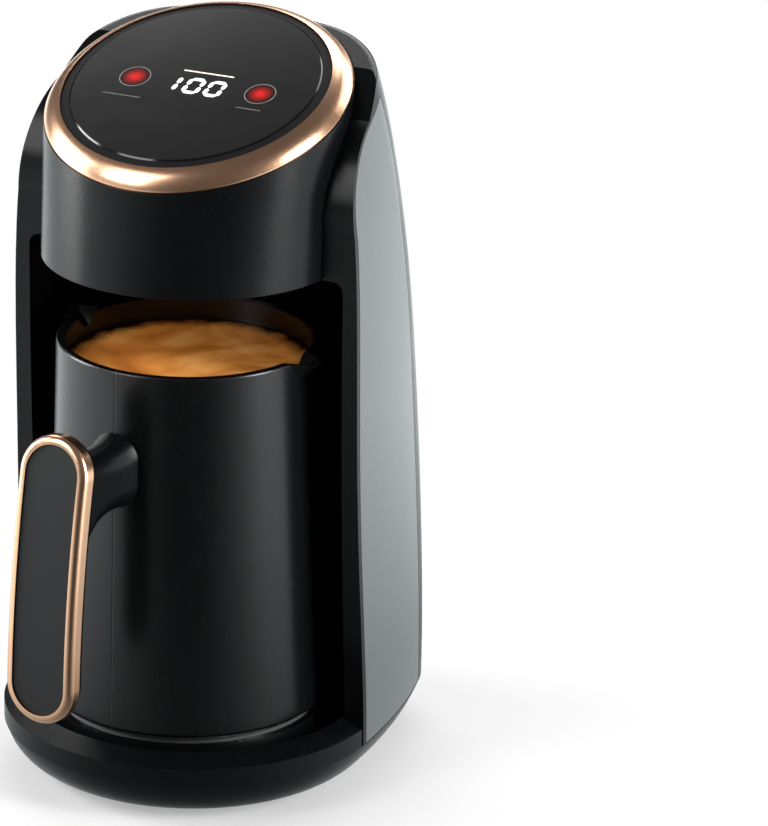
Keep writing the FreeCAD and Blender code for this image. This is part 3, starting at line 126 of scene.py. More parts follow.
def new_group(name, inputs, outputs):
    """An empty node group. Inputs are (name, number or vector, value), outputs are names of numbers."""
    tree = bpy.data.node_groups.new(name, "ShaderNodeTree")
    kinds = {"number": "NodeSocketFloat", "vector": "NodeSocketVector"}
    for socket, kind, value in inputs:
        made = tree.interface.new_socket(name=socket, in_out="INPUT", socket_type=kinds[kind])
        if value is not None:
            made.default_value = value
    for socket in outputs:
        tree.interface.new_socket(name=socket, in_out="OUTPUT", socket_type=kinds["number"])
    graph = Graph(tree)
    return tree, graph, graph.add("NodeGroupInput").outputs, graph.add("NodeGroupOutput")


def uneven_gloss(graph, gloss, pattern, uneven):
    """Roughness that follows a pattern round 0.5: gloss + 4 * (pattern - 0.5) * uneven, kept in 0..1."""
    change = graph.number("MULTIPLY", graph.number("SUBTRACT", pattern, 0.5), uneven)
    return graph.number("ADD", gloss, graph.number("MULTIPLY", change, 4.0), clamp=True)


def moulded_skin_group():
    """Fine grain of moulded plastic, with slow changes of gloss where it has been wiped and held."""
    inputs = [("Place", "vector", None), ("Grain size", "number", 2600.0), ("Gloss", "number", 0.35),
              ("Uneven", "number", 0.06)]
    tree, graph, source, target = new_group("Moulded skin", inputs, ["Height", "Roughness", "Cloud"])
    grain = graph.noise(source["Place"], source["Grain size"], 2.0)
    cloud = graph.noise(source["Place"], 34.0, 3.0, 0.55)
    wipe = graph.noise(source["Place"], 210.0, 4.0, 0.65)
    slow = graph.number("ADD", graph.number("MULTIPLY", cloud, 0.7), graph.number("MULTIPLY", wipe, 0.3))
    roughness = uneven_gloss(graph, source["Gloss"], slow, source["Uneven"])
    graph.fill(target, {"Height": grain, "Roughness": roughness, "Cloud": slow})
    return tree


def fine_lines_group():
    """Fine lines left by brushing or turning: noise whose scale along each axis is its stretch."""
    inputs = [("Place", "vector", None), ("Stretch", "vector", WHITE), ("Gloss", "number", 0.3),
              ("Uneven", "number", 0.08)]
    tree, graph, source, target = new_group("Fine lines", inputs, ["Height", "Roughness", "Lines"])
    scaled = graph.vector("MULTIPLY", source["Place"], source["Stretch"])[0]
    lines = graph.noise(scaled, 1.0, 4.0, 0.6)
    roughness = uneven_gloss(graph, source["Gloss"], lines, source["Uneven"])
    graph.fill(target, {"Height": lines, "Roughness": roughness, "Lines": lines})
    return tree


SKIN = moulded_skin_group()
LINES = fine_lines_group()


def use_skin(graph, place, grain_size, gloss, uneven):
    sockets = {"Place": place, "Grain size": grain_size, "Gloss": gloss, "Uneven": uneven}
    return graph.add("ShaderNodeGroup", sockets, node_tree=SKIN).outputs


def use_lines(graph, place, stretch, gloss, uneven):
    sockets = {"Place": place, "Stretch": stretch, "Gloss": gloss, "Uneven": uneven}
    return graph.add("ShaderNodeGroup", sockets, node_tree=LINES).outputs


def new_material(name, specular=0.5):
    """A material with an output, a surface shader and object coordinates."""
    material = bpy.data.materials.new(name)
    graph = empty_graph(material)
    shader = graph.add("ShaderNodeBsdfPrincipled", {"Specular IOR Level": specular})
    graph.add("ShaderNodeOutputMaterial", {"Surface": shader.outputs["BSDF"]})
    place = graph.add("ShaderNodeTexCoord").outputs["Object"]
    return material, graph, shader, place


def give_height(graph, shader, height, depth, strength):
    """Bump of a height field, depth in metres."""
    bump = graph.add("ShaderNodeBump", {"Strength": strength, "Distance": depth, "Height": height})
    graph.fill(shader, {"Normal": bump.outputs["Normal"]})


def two_shades(colour, spread=0.12):
    """The colour made darker and made lighter by the spread."""
    darker = tuple(part * (1.0 - spread) for part in colour)
    lighter = tuple(min(part * (1.0 + spread), 1.0) for part in colour)
    return darker, lighter


# Materials

def moulded_plastic(name, colour, gloss, grain_size=2600.0, depth=0.00002, specular=0.5):
    """Moulded plastic: grain, clouded gloss, and a colour that drifts a little."""
    material, graph, shader, place = new_material(name, specular)
    skin = use_skin(graph, place, grain_size, gloss, uneven=0.04)
    colour = graph.blend(skin["Cloud"], *two_shades(colour))
    graph.fill(shader, {"Base Color": colour, "Roughness": skin["Roughness"]})
    give_height(graph, shader, skin["Height"], depth, 0.5)
    return material


def lined_metal(name, colour, gloss, stretch):
    """Metal with fine lines along the axis whose stretch is smallest."""
    material, graph, shader, place = new_material(name)
    lines = use_lines(graph, place, stretch, gloss, uneven=0.05)
    colour = graph.blend(lines["Lines"], *two_shades(colour))
    graph.fill(shader, {"Base Color": colour, "Roughness": lines["Roughness"], "Metallic": 1.0})
    give_height(graph, shader, lines["Height"], 0.000015, 0.4)
    return material


def turned_aluminium():
    """Stained aluminium with the rings of turning, 0.4 mm apart, about the jug's axis."""
    material, graph, shader, place = new_material("turned_aluminium")
    ring_pitch = 0.0004
    sockets = {"Vector": graph.about_jug_axis(place), "Scale": 0.314 / ring_pitch, "Distortion": 0.6}
    rings = graph.add("ShaderNodeTexWave", sockets, wave_type="RINGS", rings_direction="Z",
                      wave_profile="SIN")
    stain = graph.noise(place, 55.0, 4.0, 0.6)
    clean = (0.52, 0.52, 0.53)
    stained = tuple(part * 0.72 for part in clean)
    colour = graph.blend(stain, stained, clean)
    roughness = graph.ramp(stain, 0.2, 0.8, 0.30, 0.44)
    graph.fill(shader, {"Base Color": colour, "Roughness": roughness, "Metallic": 1.0})
    give_height(graph, shader, rings.outputs["Fac"], 0.00001, 0.5)
    return material


def silver_lacquer():
    """Side panels: satin silver-grey lacquer with metal flakes under a thin clear coat."""
    material, graph, shader, place = new_material("silver_lacquer")
    skin = use_skin(graph, place, 5200.0, 0.34, 0.03)
    flakes = graph.ramp(graph.cells(place, 3800.0), 0.0, 0.55, 1.0, 0.0)
    lacquer = graph.blend(skin["Cloud"], (0.092, 0.098, 0.098), (0.112, 0.119, 0.119))
    colour = graph.blend(graph.number("MULTIPLY", flakes, 0.35), lacquer, (0.34, 0.355, 0.36))
    graph.fill(shader, {"Base Color": colour, "Roughness": skin["Roughness"], "Metallic": 0.55,
                        "Coat Weight": 0.25, "Coat Roughness": 0.18})
    give_height(graph, shader, skin["Height"], 0.00001, 0.3)
    return material


def jug_black():
    """Satin black of the jug's wall, with the fine upright joint line under the handle's neck."""
    material, graph, shader, place = new_material("jug_black", 0.4)
    skin = use_skin(graph, place, 3000.0, 0.27, 0.02)
    sockets = {"Vector": place, "Location": (0.0, JUG_AXIS_Y, 0.0), "Rotation": (0.0, 0.0, JUG_TURN)}
    turned = graph.add("ShaderNodeMapping", sockets, vector_type="TEXTURE")
    parts = graph.add("ShaderNodeSeparateXYZ", {"Vector": turned.outputs["Vector"]}).outputs
    near = graph.ramp(graph.number("ABSOLUTE", parts["X"]), 0.00012, 0.00032, 1.0, 0.0)
    front = graph.ramp(parts["Y"], -0.035, -0.03, 1.0, 0.0)
    seam = graph.number("MULTIPLY", near, front)
    rougher = graph.number("ADD", skin["Roughness"], graph.number("MULTIPLY", seam, 0.3), clamp=True)
    colour = graph.blend(seam, (0.0018, 0.0021, 0.0023), (0.0003, 0.0003, 0.0003))
    graph.fill(shader, {"Base Color": colour, "Roughness": rougher})
    height = graph.number("SUBTRACT", graph.number("MULTIPLY", skin["Height"], 0.12), seam)
    give_height(graph, shader, height, 0.00012, 0.6)
    return material


def dark_coating():
    """Non-stick coating inside the jug: near black with paler specks."""
    material, graph, shader, place = new_material("dark_coating")
    skin = use_skin(graph, place, 3400.0, 0.42, 0.05)
    specks = graph.ramp(graph.cells(place, 420.0), 0.06, 0.12, 1.0, 0.0)
    colour = graph.blend(specks, (0.005, 0.005, 0.0055), (0.05, 0.05, 0.05))
    graph.fill(shader, {"Base Color": colour, "Roughness": skin["Roughness"]})
    give_height(graph, shader, skin["Height"], 0.00003, 0.5)
    return material


def rose_gold():
    """Plated satin rose gold: warm copper with soft clouds and a very fine grain."""
    material, graph, shader, place = new_material("rose_gold")
    grain = use_lines(graph, place, (900.0, 900.0, 900.0), 0.24, 0.03)
    colour = graph.blend(graph.noise(place, 60.0, 2.0), (0.80, 0.45, 0.27), (0.88, 0.54, 0.36))
    graph.fill(shader, {"Base Color": colour, "Roughness": grain["Roughness"], "Metallic": 1.0})
    give_height(graph, shader, grain["Height"], 0.000004, 0.2)
    return material


def black_glass():
    """Glass of the touch panel, printed black behind, with faint wiping marks in its gloss."""
    material, graph, shader, place = new_material("black_glass")
    smear = graph.noise(place, 90.0, 5.0, 0.7)
    colour = graph.blend(smear, (0.0010, 0.0011, 0.0012), (0.0018, 0.0020, 0.0021))
    graph.fill(shader, {"Base Color": colour, "Roughness": graph.ramp(smear, 0.3, 0.8, 0.12, 0.14)})
    return material


def circuit_board():
    """Green lacquer over copper: tracks along the borders of cells, and tin pads in the middle of others."""
    material, graph, shader, place = new_material("circuit_board")
    middles = graph.cells(place, 210.0, feature="F1", distance="MANHATTAN")
    borders = graph.cells(place, 240.0, feature="DISTANCE_TO_EDGE")
    line = graph.ramp(borders, 0.03, 0.07, 1.0, 0.0)
    pad = graph.ramp(middles, 0.10, 0.14, 1.0, 0.0)
    green = graph.blend(line, (0.012, 0.105, 0.035), (0.03, 0.21, 0.075))
    colour = graph.blend(pad, green, (0.62, 0.60, 0.55))
    graph.fill(shader, {"Base Color": colour, "Roughness": graph.ramp(line, 0.0, 1.0, 0.38, 0.26)})
    give_height(graph, shader, graph.number("ADD", line, pad), 0.00004, 0.5)
    return material


def heated_tube():
    """Tube of the heating element: steel with straw, brown and blue heat tint."""
    material, graph, shader, place = new_material("heated_tube")
    cloud = graph.noise(place, 38.0, 4.0, 0.6)
    tint = graph.stops(cloud, ((0.30, (0.34, 0.31, 0.27)), (0.46, (0.42, 0.29, 0.14)),
                               (0.56, (0.17, 0.09, 0.10)), (0.68, (0.13, 0.16, 0.26))))
    roughness = graph.ramp(cloud, 0.2, 0.8, 0.30, 0.48)
    graph.fill(shader, {"Base Color": tint, "Roughness": roughness, "Metallic": 1.0})
    give_height(graph, shader, graph.noise(place, 900.0), 0.00002, 0.4)
    return material


def key_glow(name, centre, radius):
    """Red light under the glass: brightest round its centre, fading outwards, with a mottled surface."""
    material, graph, shader, place = new_material(name)
    reach = graph.vector("DISTANCE", place, centre)["Value"]
    fade = graph.number("POWER", graph.ramp(reach, radius * 0.2, radius, 1.0, 0.0), 1.6)
    mottle = graph.ramp(graph.noise(place, 1500.0, 2.0, 0.6), 0.35, 0.65, 0.55, 1.0)
    light = graph.blend(graph.number("MULTIPLY", fade, mottle), BLACK, (1.0, 0.02, 0.015))
    graph.fill(shader, {"Base Color": (0.01, 0.003, 0.003), "Roughness": 0.1, "Emission Color": light,
                        "Emission Strength": 1.0})
    return material


def lit_ink(name, colour, strength):
    """A lit segment or bar: even light with fine specks a tenth dimmer."""
    material, graph, shader, place = new_material(name)
    speck = graph.ramp(graph.noise(place, 2400.0, 2.0), 0.3, 0.7)
    light = graph.blend(speck, tuple(part * 0.9 for part in colour), colour)
    graph.fill(shader, {"Base Color": (0.5, 0.5, 0.48), "Roughness": 0.3, "Emission Color": light,
                        "Emission Strength": strength})
    return material


def crema():
    """Foam on the coffee: caramel with brown swirls, small bubbles, a dark rim at the wall, and a faint
    painted glow in the foam's own colours, which is painted light that brightens the foam beyond what the
    lamps give."""
    material, graph, shader, place = new_material("crema")
    about = graph.about_jug_axis(place)
    swirl = graph.noise(about, 24.0, 3.0, distortion=1.6)
    caramel = graph.stops(swirl, ((0.28, (0.34, 0.09, 0.012)), (0.46, (0.62, 0.21, 0.035)),
                                  (0.60, (0.80, 0.34, 0.08)), (0.78, (0.90, 0.52, 0.20))))
    flat = graph.vector("MULTIPLY", about, (1.0, 1.0, 0.0))[0]
    reach = graph.vector("DISTANCE", flat, BLACK)["Value"]
    wobble = graph.number("MULTIPLY", graph.noise(place, 130.0), 0.006)
    rim = graph.ramp(graph.number("ADD", reach, wobble), 0.0400, 0.0462)
    dots = graph.ramp(graph.cells(place, 520.0), 0.10, 0.2, 1.0, 0.0)
    clusters = graph.ramp(graph.noise(place, 60.0, 2.0), 0.5, 0.62, 0.0, 0.7)
    foam = graph.blend(graph.number("MULTIPLY", dots, clusters), caramel, (0.16, 0.05, 0.012))
    # painted glow: the foam's colours given as emission of strength 0.2, painted light that brightens the
    # foam; the dark rim at the wall gets none
    graph.fill(shader, {
        "Base Color": graph.blend(rim, foam, (0.055, 0.012, 0.003)),
        "Roughness": graph.ramp(rim, 0.0, 1.0, 0.42, 0.12),
        "Emission Color": graph.blend(rim, foam, BLACK),
        "Emission Strength": 0.2,
    })
    height = graph.number("SUBTRACT", swirl, graph.number("MULTIPLY", dots, 0.3))
    give_height(graph, shader, height, 0.0003, 0.5)
    return material


PLASTICS = {
    "shell": ("satin_black_shell", (0.0022, 0.0026, 0.0029), dict(gloss=0.27, specular=0.2)),
    "inner": ("matt_black_moulding", (0.0022, 0.0022, 0.0024),
              dict(gloss=0.5, grain_size=1800.0, depth=0.00004, specular=0.1)),
    "rubber": ("black_rubber", (0.005, 0.005, 0.0052),
               dict(gloss=0.72, grain_size=1500.0, depth=0.00006, specular=0.15)),
    "window": ("dark_infrared_window", (0.02, 0.004, 0.012),
               dict(gloss=0.08, grain_size=900.0, depth=0.000002)),
    "display": ("display_block", (0.62, 0.62, 0.58), dict(gloss=0.45)),
    "foam": ("touch_foam", (0.06, 0.06, 0.062), dict(gloss=0.9, grain_size=900.0, depth=0.00015)),
    "lamp": ("red_lamp_cap", (0.5, 0.02, 0.012), dict(gloss=0.2)),
    "relay": ("relay_case", (0.012, 0.06, 0.22), dict(gloss=0.34)),
    "can": ("capacitor_sleeve", (0.02, 0.022, 0.075), dict(gloss=0.25)),
    "white": ("white_moulding", (0.62, 0.61, 0.57), dict(gloss=0.42)),
    "silicone": ("grey_silicone", (0.045, 0.045, 0.047), dict(gloss=0.6, grain_size=1300.0)),
    "ceramic": ("white_ceramic", (0.66, 0.64, 0.59), dict(gloss=0.5, grain_size=1600.0, depth=0.00003)),
    "inlay": ("soft_touch_inlay", (0.012, 0.013, 0.0135),
              dict(gloss=0.5, grain_size=2200.0, depth=0.00003, specular=0.25)),
    "print": ("grey_print", (0.20, 0.19, 0.19), dict(gloss=0.4)),
}

NODES_OF_FINISH = {
    "shell": ("base_shell", "base_deck", "tower_shell", "rear_cover", "head_shell", "handle_body"),
    "inner": ("base_cover", "bay_liner", "head_underside", "display_carrier", "buzzer"),
    "rubber": ("rubber_feet", "panel_gasket", "cord_gland"),
    "zinc": ("base_screws", "plate_strap", "power_transformer", "handle_bolts"),
    "silver": ("side_panel_left", "side_panel_right"),
    "window": ("sensor_window",),
    "board": ("foam_sensor", "display_board", "control_board"),
    "gold": ("trim_ring", "handle_trim"),
    "glass": ("glass_panel",),
    "display": ("display_module",),
    "foam": ("touch_pad_left", "touch_pad_right"),
    "lamp": ("key_lamps",),
    "relay": ("relay",),
    "can": ("filter_capacitor",),
    "white": ("terminal_block",),
    "plate": ("hot_plate", "sensor_plunger", "jug_base_disc"),
    "silicone": ("plate_gasket", "rim_seal"),
    "heater": ("heating_element",),
    "ceramic": ("sensor_guide", "thermostat", "thermal_fuse"),
    "spring": ("plunger_spring",),
    "jug": ("jug_shell",),
    "coating": ("jug_liner",),
    "inlay": ("handle_inlay",),
}


def make_finishes():
    """Every finish of the machine, by the name that the pieces use."""
    finishes = {
        finish: moulded_plastic(name, colour, **settings)
        for finish, (name, colour, settings) in PLASTICS.items()
    }
    finishes.update({
        "zinc": lined_metal("zinc_plated_steel", (0.55, 0.56, 0.55), 0.32, (900.0, 900.0, 120.0)),
        "spring": lined_metal("spring_wire", (0.5, 0.5, 0.5), 0.28, (800.0, 800.0, 2400.0)),
        "plate": turned_aluminium(),
        "silver": silver_lacquer(),
        "board": circuit_board(),
        "gold": rose_gold(),
        "glass": black_glass(),
        "heater": heated_tube(),
        "jug": jug_black(),
        "coating": dark_coating(),
        "crema": crema(),
        "figures": lit_ink("lit_figures", (0.95, 0.97, 1.0), 1.6),
        "bar": lit_ink("lit_bar", (1.0, 0.84, 0.52), 1.0),
    })
    return finishes


def paint_nodes(finishes):
    for finish, names in NODES_OF_FINISH.items():
        for name in names:
            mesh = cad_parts[name].data
            mesh.materials.clear()
            mesh.materials.append(finishes[finish])


# Surfaces

def mesh_piece(name, points, faces, finish, body, smooth=True):
    """A piece from corner points (n, 3) and faces, riding on a body."""
    mesh = bpy.data.meshes.new(name)
    mesh.from_pydata(points.tolist(), [], faces)
    mesh.validate()
    mesh.polygons.foreach_set("use_smooth", [smooth] * len(mesh.polygons))
    mesh.materials.append(finish)
    piece = bpy.data.objects.new(name, mesh)
    bpy.context.scene.collection.objects.link(piece)
    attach(piece, body)
    return piece


def weld(piece):
    """Joins the points that fall on each other and turns every face outwards."""
    shape = bmesh.new()
    shape.from_mesh(piece.data)
    bmesh.ops.remove_doubles(shape, verts=shape.verts, dist=1e-7)
    bmesh.ops.recalc_face_normals(shape, faces=shape.faces)
    shape.to_mesh(piece.data)
    shape.free()


def grid_faces(rows, columns):
    """Faces of a grid of rows by columns points whose columns close into a ring."""
    row, column = np.meshgrid(np.arange(rows - 1), np.arange(columns), indexing="ij")
    after = (column + 1) % columns
    low, high = row * columns, (row + 1) * columns
    corners = np.stack((low + column, low + after, high + after, high + column), axis=-1)
    return corners.reshape(-1, 4).tolist()


def fan_faces(centre, ring, upward):
    """Triangles between one point and a closed ring of points."""
    pairs = zip(ring, ring[1:] + ring[:1])
    return [(centre, here, after) if upward else (centre, after, here) for here, after in pairs]


def on_panel(across, up, lift):
    """Points of the slanted panel, centre + across * X + up * U + lift * N, where U = (0, cos t, sin t) runs
    up the slope and N = (0, -sin t, cos t) stands on it."""
    across, up, lift = np.broadcast_arrays(across, up, lift)
    sine, cosine = math.sin(PANEL_TILT), math.cos(PANEL_TILT)
    return np.stack([
        PANEL_CENTRE[0] + across,
        PANEL_CENTRE[1] + up * cosine - lift * sine,
        PANEL_CENTRE[2] + up * sine + lift * cosine,
    ], axis=-1)


def flat_shape(name, outlines, finish, thick=0.00005):
    """Thin plates on the glass. Each outline is a convex polygon (n, 2); its plate is the prism over it,
    half of its thickness above the glass."""
    points, faces = [], []
    for line in outlines:
        start = sum(len(part) for part in points)
        count = len(line)
        for lift in (GLASS_TOP - thick / 2, GLASS_TOP + thick / 2):
            points.append(on_panel(line[:, 0], line[:, 1], lift))
        low = list(range(start, start + count))
        high = list(range(start + count, start + 2 * count))
        faces += [low[::-1], high]
        faces += [
            [low[index], low[(index + 1) % count], high[(index + 1) % count], high[index]]
            for index in range(count)
        ]
    return mesh_piece(name, np.concatenate(points), faces, finish, "machine", smooth=False)


def rectangle(left, right, low, high):
    return np.array([[left, low], [right, low], [right, high], [left, high]])


# Lit figures and marks of the panel

FIGURE_TALL = 0.0091
FIGURE_WIDE = 0.0066
STROKE = 0.00155
STROKE_GAP = 0.00015
SLANT = math.tan(math.radians(5.0))
READING = (("1", -0.0088), ("0", 0.0001), ("0", 0.0083))
READING_UP = -0.00185
SEGMENTS = {"0": "abcdef", "1": "bc"}
BAR = rectangle(-0.0072, 0.0121, 0.0057, 0.0063)
RULE_TALL = 0.00028
RULES = ((-0.0305, -0.0160, -0.0124), (0.0200, 0.0295, -0.0098))
KEYS = {"left": (-0.0230, -0.0014), "right": (0.0253, -0.0008)}
KEY_RING_RADIUS = 0.0055
KEY_RING_HALF_WIDE = 0.00016
KEY_RING_HALF_TALL = 0.00003
KEY_LIGHT_RADIUS = 0.0052


def segment_outline(letter):
    """One of the strokes of a figure: a hexagon along the edge of the cell, pointed at both ends and short
    of its neighbours by STROKE_GAP. a is the top, then clockwise to f, and the cell is centred on 0."""
    half = STROKE / 2
    right, top = FIGURE_WIDE / 2 - half, FIGURE_TALL / 2 - half
    start, end = np.array({
        "a": ((-right, top), (right, top)),
        "b": ((right, top), (right, 0.0)),
        "c": ((right, 0.0), (right, -top)),
        "d": ((right, -top), (-right, -top)),
        "e": ((-right, -top), (-right, 0.0)),
        "f": ((-right, 0.0), (-right, top)),
    }[letter])
    along = (end - start) / np.linalg.norm(end - start)
    across = np.array([-along[1], along[0]])
    start, end = start + along * STROKE_GAP, end - along * STROKE_GAP
    forth, aside = along * half, across * half
    line = np.array([
        start, start + forth - aside, end - forth - aside,
        end, end - forth + aside, start + forth + aside,
    ])
    line[:, 0] += line[:, 1] * SLANT
    return line


def make_figures(finishes):
    """The lit reading 100 and the bar over it."""
    outlines = [
        segment_outline(letter) + np.array([across, READING_UP])
        for figure, across in READING
        for letter in SEGMENTS[figure]
    ]
    flat_shape("lit_figures", outlines, finishes["figures"])
    flat_shape("lit_bar", [BAR], finishes["bar"])


def make_key(side, finishes):
    """A touch key: a printed ring of oval section, centre + (R + a cos v) (cos u, sin u) across the glass
    and b sin v above it, and a round light under it."""
    across, up = KEYS[side]
    columns, rows = 96, 8
    around = np.linspace(0.0, FULL_TURN, columns, endpoint=False)[None, :]
    about = np.linspace(0.0, FULL_TURN, rows, endpoint=False)[:, None]
    reach = KEY_RING_RADIUS + KEY_RING_HALF_WIDE * np.cos(about)
    lift = GLASS_TOP + KEY_RING_HALF_TALL * np.sin(about)
    points = on_panel(across + reach * np.cos(around), up + reach * np.sin(around), lift)
    points = np.concatenate([points, points[:1]]).reshape(-1, 3)
    faces = grid_faces(rows + 1, columns)
    weld(mesh_piece(f"key_ring_{side}", points, faces, finishes["print"], "machine"))

    middle = tuple(float(part) for part in on_panel(across, up, GLASS_TOP))
    angle = np.linspace(0.0, FULL_TURN, 64, endpoint=False)
    disc = np.stack([np.cos(angle), np.sin(angle)], axis=-1) * KEY_LIGHT_RADIUS + np.array([across, up])
    glow = key_glow(f"key_glow_{side}", middle, KEY_LIGHT_RADIUS)
    flat_shape(f"key_light_{side}", [disc], glow, 0.00002)


def make_rules(finishes):
    """Plain printed rules under the keys."""
    outlines = [rectangle(left, right, up - RULE_TALL / 2, up + RULE_TALL / 2) for left, right, up in RULES]
    flat_shape("printed_rules", outlines, finishes["print"])


# Coffee in the jug

COFFEE_TOP = 0.1515
COFFEE_FLOOR = 0.0345
COFFEE_TOP_RADIUS = 0.04345
COFFEE_LOW_RADIUS = 0.0440
TIP_HALF_ANGLE = math.radians(5.0)
TIP_LONG = 0.0026


def make_coffee(finishes):
    """Coffee with its foam: a closed body of revolution whose radius R follows the jug's inner wall. Its top
    rises at the wall in a meniscus, 0.6 mm * exp(-(R - r) / 1.1 mm), swells by waves of 0.12 mm,
    sin(3 u + 40 r) cos(150 r), that die out there, and runs into both spouts as pointed tips,
    2.6 mm * exp(-(angle / 5 degrees)^2). The wall draws in a little near the floor of the jug."""
    columns = 180
    angle = np.linspace(0.0, FULL_TURN, columns, endpoint=False)
    share = np.concatenate([np.linspace(0.04, 0.9, 26), np.linspace(0.915, 1.0, 12)])[:, None]
    from_spout = np.abs(np.angle(np.exp(2j * angle))) / 2.0
    tip = np.exp(-(from_spout / TIP_HALF_ANGLE) ** 2) * TIP_LONG
    radius = share * (COFFEE_TOP_RADIUS + tip * share ** 6)
    from_wall = COFFEE_TOP_RADIUS * (1.0 - share)
    wave = 0.00012 * np.sin(3.0 * angle + 40.0 * radius) * np.cos(150.0 * radius) * (1.0 - share ** 4)
    height = COFFEE_TOP + 0.0006 * np.exp(-from_wall / 0.0011) + wave
    top = np.stack([radius * np.cos(angle), radius * np.sin(angle), height], axis=-1)

    fall = np.linspace(0.0, 1.0, 18)[1:, None]
    side_radius = COFFEE_TOP_RADIUS + (COFFEE_LOW_RADIUS - COFFEE_TOP_RADIUS) * fall
    side_radius = side_radius - np.maximum(fall - 0.93, 0.0) * 0.06
    side_height = COFFEE_TOP + (COFFEE_FLOOR - COFFEE_TOP) * fall
    side = np.stack(np.broadcast_arrays(
        side_radius * np.cos(angle), side_radius * np.sin(angle), side_height,
    ), axis=-1)

    middles = [[0.0, 0.0, COFFEE_TOP], [0.0, 0.0, COFFEE_FLOOR]]
    points = np.concatenate([top.reshape(-1, 3), side.reshape(-1, 3), middles])
    rows = len(share) + len(fall)
    first = list(range(columns))
    last = list(range((rows - 1) * columns, rows * columns))
    faces = [face[::-1] for face in grid_faces(rows, columns)]
    faces += fan_faces(rows * columns, first, True) + fan_faces(rows * columns + 1, last, False)
    sine, cosine = math.sin(JUG_TURN), math.cos(JUG_TURN)
    points[:, :2] = points[:, :2] @ np.array([[cosine, sine], [-sine, cosine]])
    points[:, 1] += JUG_AXIS_Y
    weld(mesh_piece("coffee", points, faces, finishes["crema"], "jug"))


# Room, lamps and camera

FLOOR_HALF = 12.0
MIDDLE = (0.0, 0.03, 0.0)
FRONT = (0.42, -0.91, 0.0)


def make_floor():
    """A wide pale floor: it catches the shadow near the machine and turns into plain white further out.
    Mirrors see it dark in front of the machine and near it, and bright at the sides."""
    mesh = bpy.data.meshes.new("floor")
    half = FLOOR_HALF
    corners = [(-half, -half, 0.0), (half, -half, 0.0), (half, half, 0.0), (-half, half, 0.0)]
    mesh.from_pydata(corners, [], [(0, 1, 2, 3)])
    floor = bpy.data.objects.new("floor", mesh)
    bpy.context.scene.collection.objects.link(floor)
    material = bpy.data.materials.new("pale_floor")
    graph = empty_graph(material)
    place = graph.add("ShaderNodeTexCoord").outputs["Object"]
    rays = graph.add("ShaderNodeLightPath").outputs
    reach = graph.vector("DISTANCE", place, MIDDLE)["Value"]

    matt = graph.add("ShaderNodeBsdfPrincipled", {
        "Base Color": (0.76, 0.755, 0.76), "Roughness": 0.55, "Specular IOR Level": 0.3,
    })
    white = graph.add("ShaderNodeEmission", {"Color": WHITE, "Strength": 1.0})
    seen = graph.number("MAXIMUM", rays["Is Camera Ray"], rays["Is Transmission Ray"])
    whiter = graph.number("MULTIPLY", graph.ramp(reach, 0.09, 0.26, 0.35, 1.0), seen)
    plain = graph.add("ShaderNodeMixShader", {"Fac": whiter, 1: matt.outputs[0], 2: white.outputs[0]})

    ahead = graph.number("DIVIDE", graph.vector("DOT_PRODUCT", place, FRONT)["Value"],
                         graph.number("MAXIMUM", reach, 0.01))
    round_about = graph.ramp(ahead, 0.38, 0.92, 1.6, 0.06)
    outwards = graph.ramp(reach, 0.14, 0.40, 0.4, 1.0)
    glow = graph.add("ShaderNodeEmission", {
        "Color": (0.92, 0.99, 1.0), "Strength": graph.number("MULTIPLY", round_about, outwards),
    })
    surface = graph.add("ShaderNodeMixShader", {
        "Fac": rays["Is Glossy Ray"], 1: plain.outputs[0], 2: glow.outputs[0],
    })
    graph.add("ShaderNodeOutputMaterial", {"Surface": surface.outputs[0]})
    mesh.materials.append(material)


def make_world():
    """Plain white behind the machine, and a dim even fill for everything else."""
    world = bpy.data.worlds.new("studio")
    bpy.context.scene.world = world
    graph = empty_graph(world)
    rays = graph.add("ShaderNodeLightPath").outputs
    fill = graph.add("ShaderNodeBackground", {"Color": WHITE, "Strength": 0.12})
    plain = graph.add("ShaderNodeBackground", {"Color": WHITE, "Strength": 1.0})
    seen = graph.number("MAXIMUM", rays["Is Camera Ray"], rays["Is Transmission Ray"])
    surface = graph.add("ShaderNodeMixShader", {"Fac": seen, 1: fill.outputs[0], 2: plain.outputs[0]})
    graph.add("ShaderNodeOutputWorld", {"Surface": surface.outputs[0]})


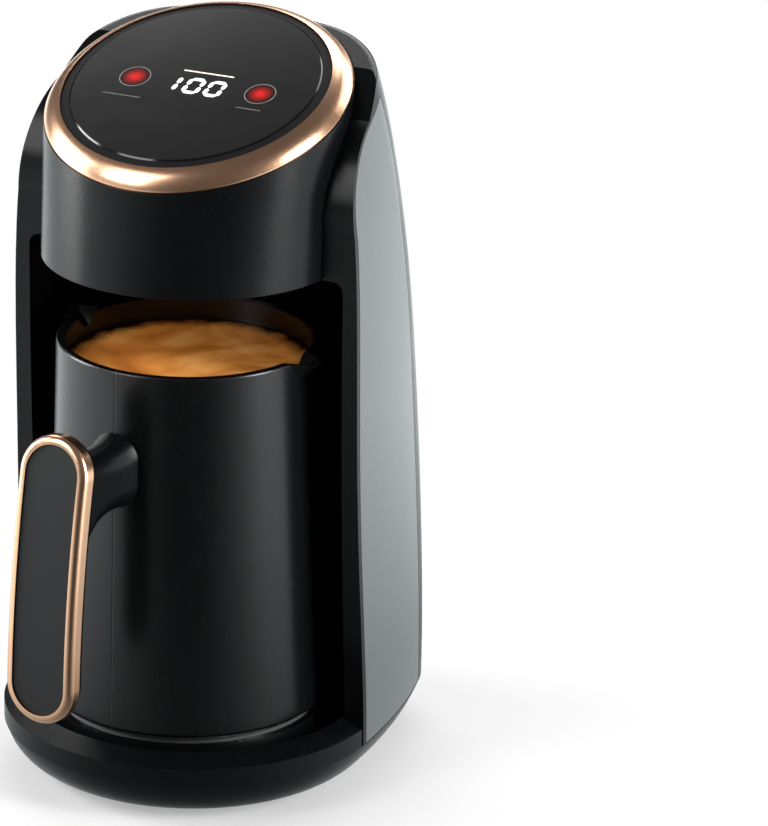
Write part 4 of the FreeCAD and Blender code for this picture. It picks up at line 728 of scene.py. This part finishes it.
def soft_box(name, place, aim_up, wide, tall, power):
    """A rectangular lamp that looks from its place at a point of the machine's middle line."""
    data = bpy.data.lights.new(name, "AREA")
    data.shape = "RECTANGLE"
    data.size = wide
    data.size_y = tall
    data.energy = power
    lamp = bpy.data.objects.new(name, data)
    bpy.context.scene.collection.objects.link(lamp)
    lamp.location = place
    aim = Vector((0.0, 0.0, aim_up)) - Vector(place)
    lamp.rotation_euler = aim.to_track_quat("-Z", "Y").to_euler()


def make_lamps():
    soft_box("lamp_left", (-1.35, -0.28, 0.40), 0.12, wide=0.60, tall=1.3, power=32.0)
    soft_box("lamp_right", (1.40, -0.02, 0.40), 0.12, wide=0.45, tall=1.3, power=40.0)
    soft_box("lamp_back_right", (0.45, 1.05, 0.72), 0.22, wide=0.8, tall=0.6, power=5.0)
    soft_box("lamp_front_left", (-0.66, -1.02, 0.92), 0.25, wide=0.6, tall=1.0, power=11.0)
    soft_box("lamp_above", (-0.498, 1.106, 1.172), 0.2, wide=1.4, tall=0.7, power=15.0)


CAMERA_PLACE = (0.83206, -1.648588, 0.81182)
CAMERA_AZIMUTH = math.radians(24.6591)
CAMERA_ELEVATION = math.radians(20.2105)
CAMERA_ROLL = math.radians(0.8425)


def make_camera():
    """The photograph's camera, as fitted to its outlines."""
    data = bpy.data.cameras.new("camera")
    data.lens = 241.75
    data.sensor_width = 36.0
    data.sensor_fit = "AUTO"
    camera = bpy.data.objects.new("camera", data)
    bpy.context.scene.collection.objects.link(camera)
    turn = Euler((math.pi / 2.0 - CAMERA_ELEVATION, 0.0, CAMERA_AZIMUTH)).to_matrix()
    turn = (turn @ Matrix.Rotation(CAMERA_ROLL, 3, "Z")).to_4x4()
    camera.matrix_world = Matrix.Translation(CAMERA_PLACE) @ turn
    bpy.context.scene.camera = camera


bpy.context.scene.view_settings.view_transform = "Standard"
finishes = make_finishes()
paint_nodes(finishes)
make_figures(finishes)
for key in KEYS:
    make_key(key, finishes)
make_rules(finishes)
make_coffee(finishes)
make_floor()
make_world()
make_lamps()
make_camera()

bpy.context.view_layer.update()
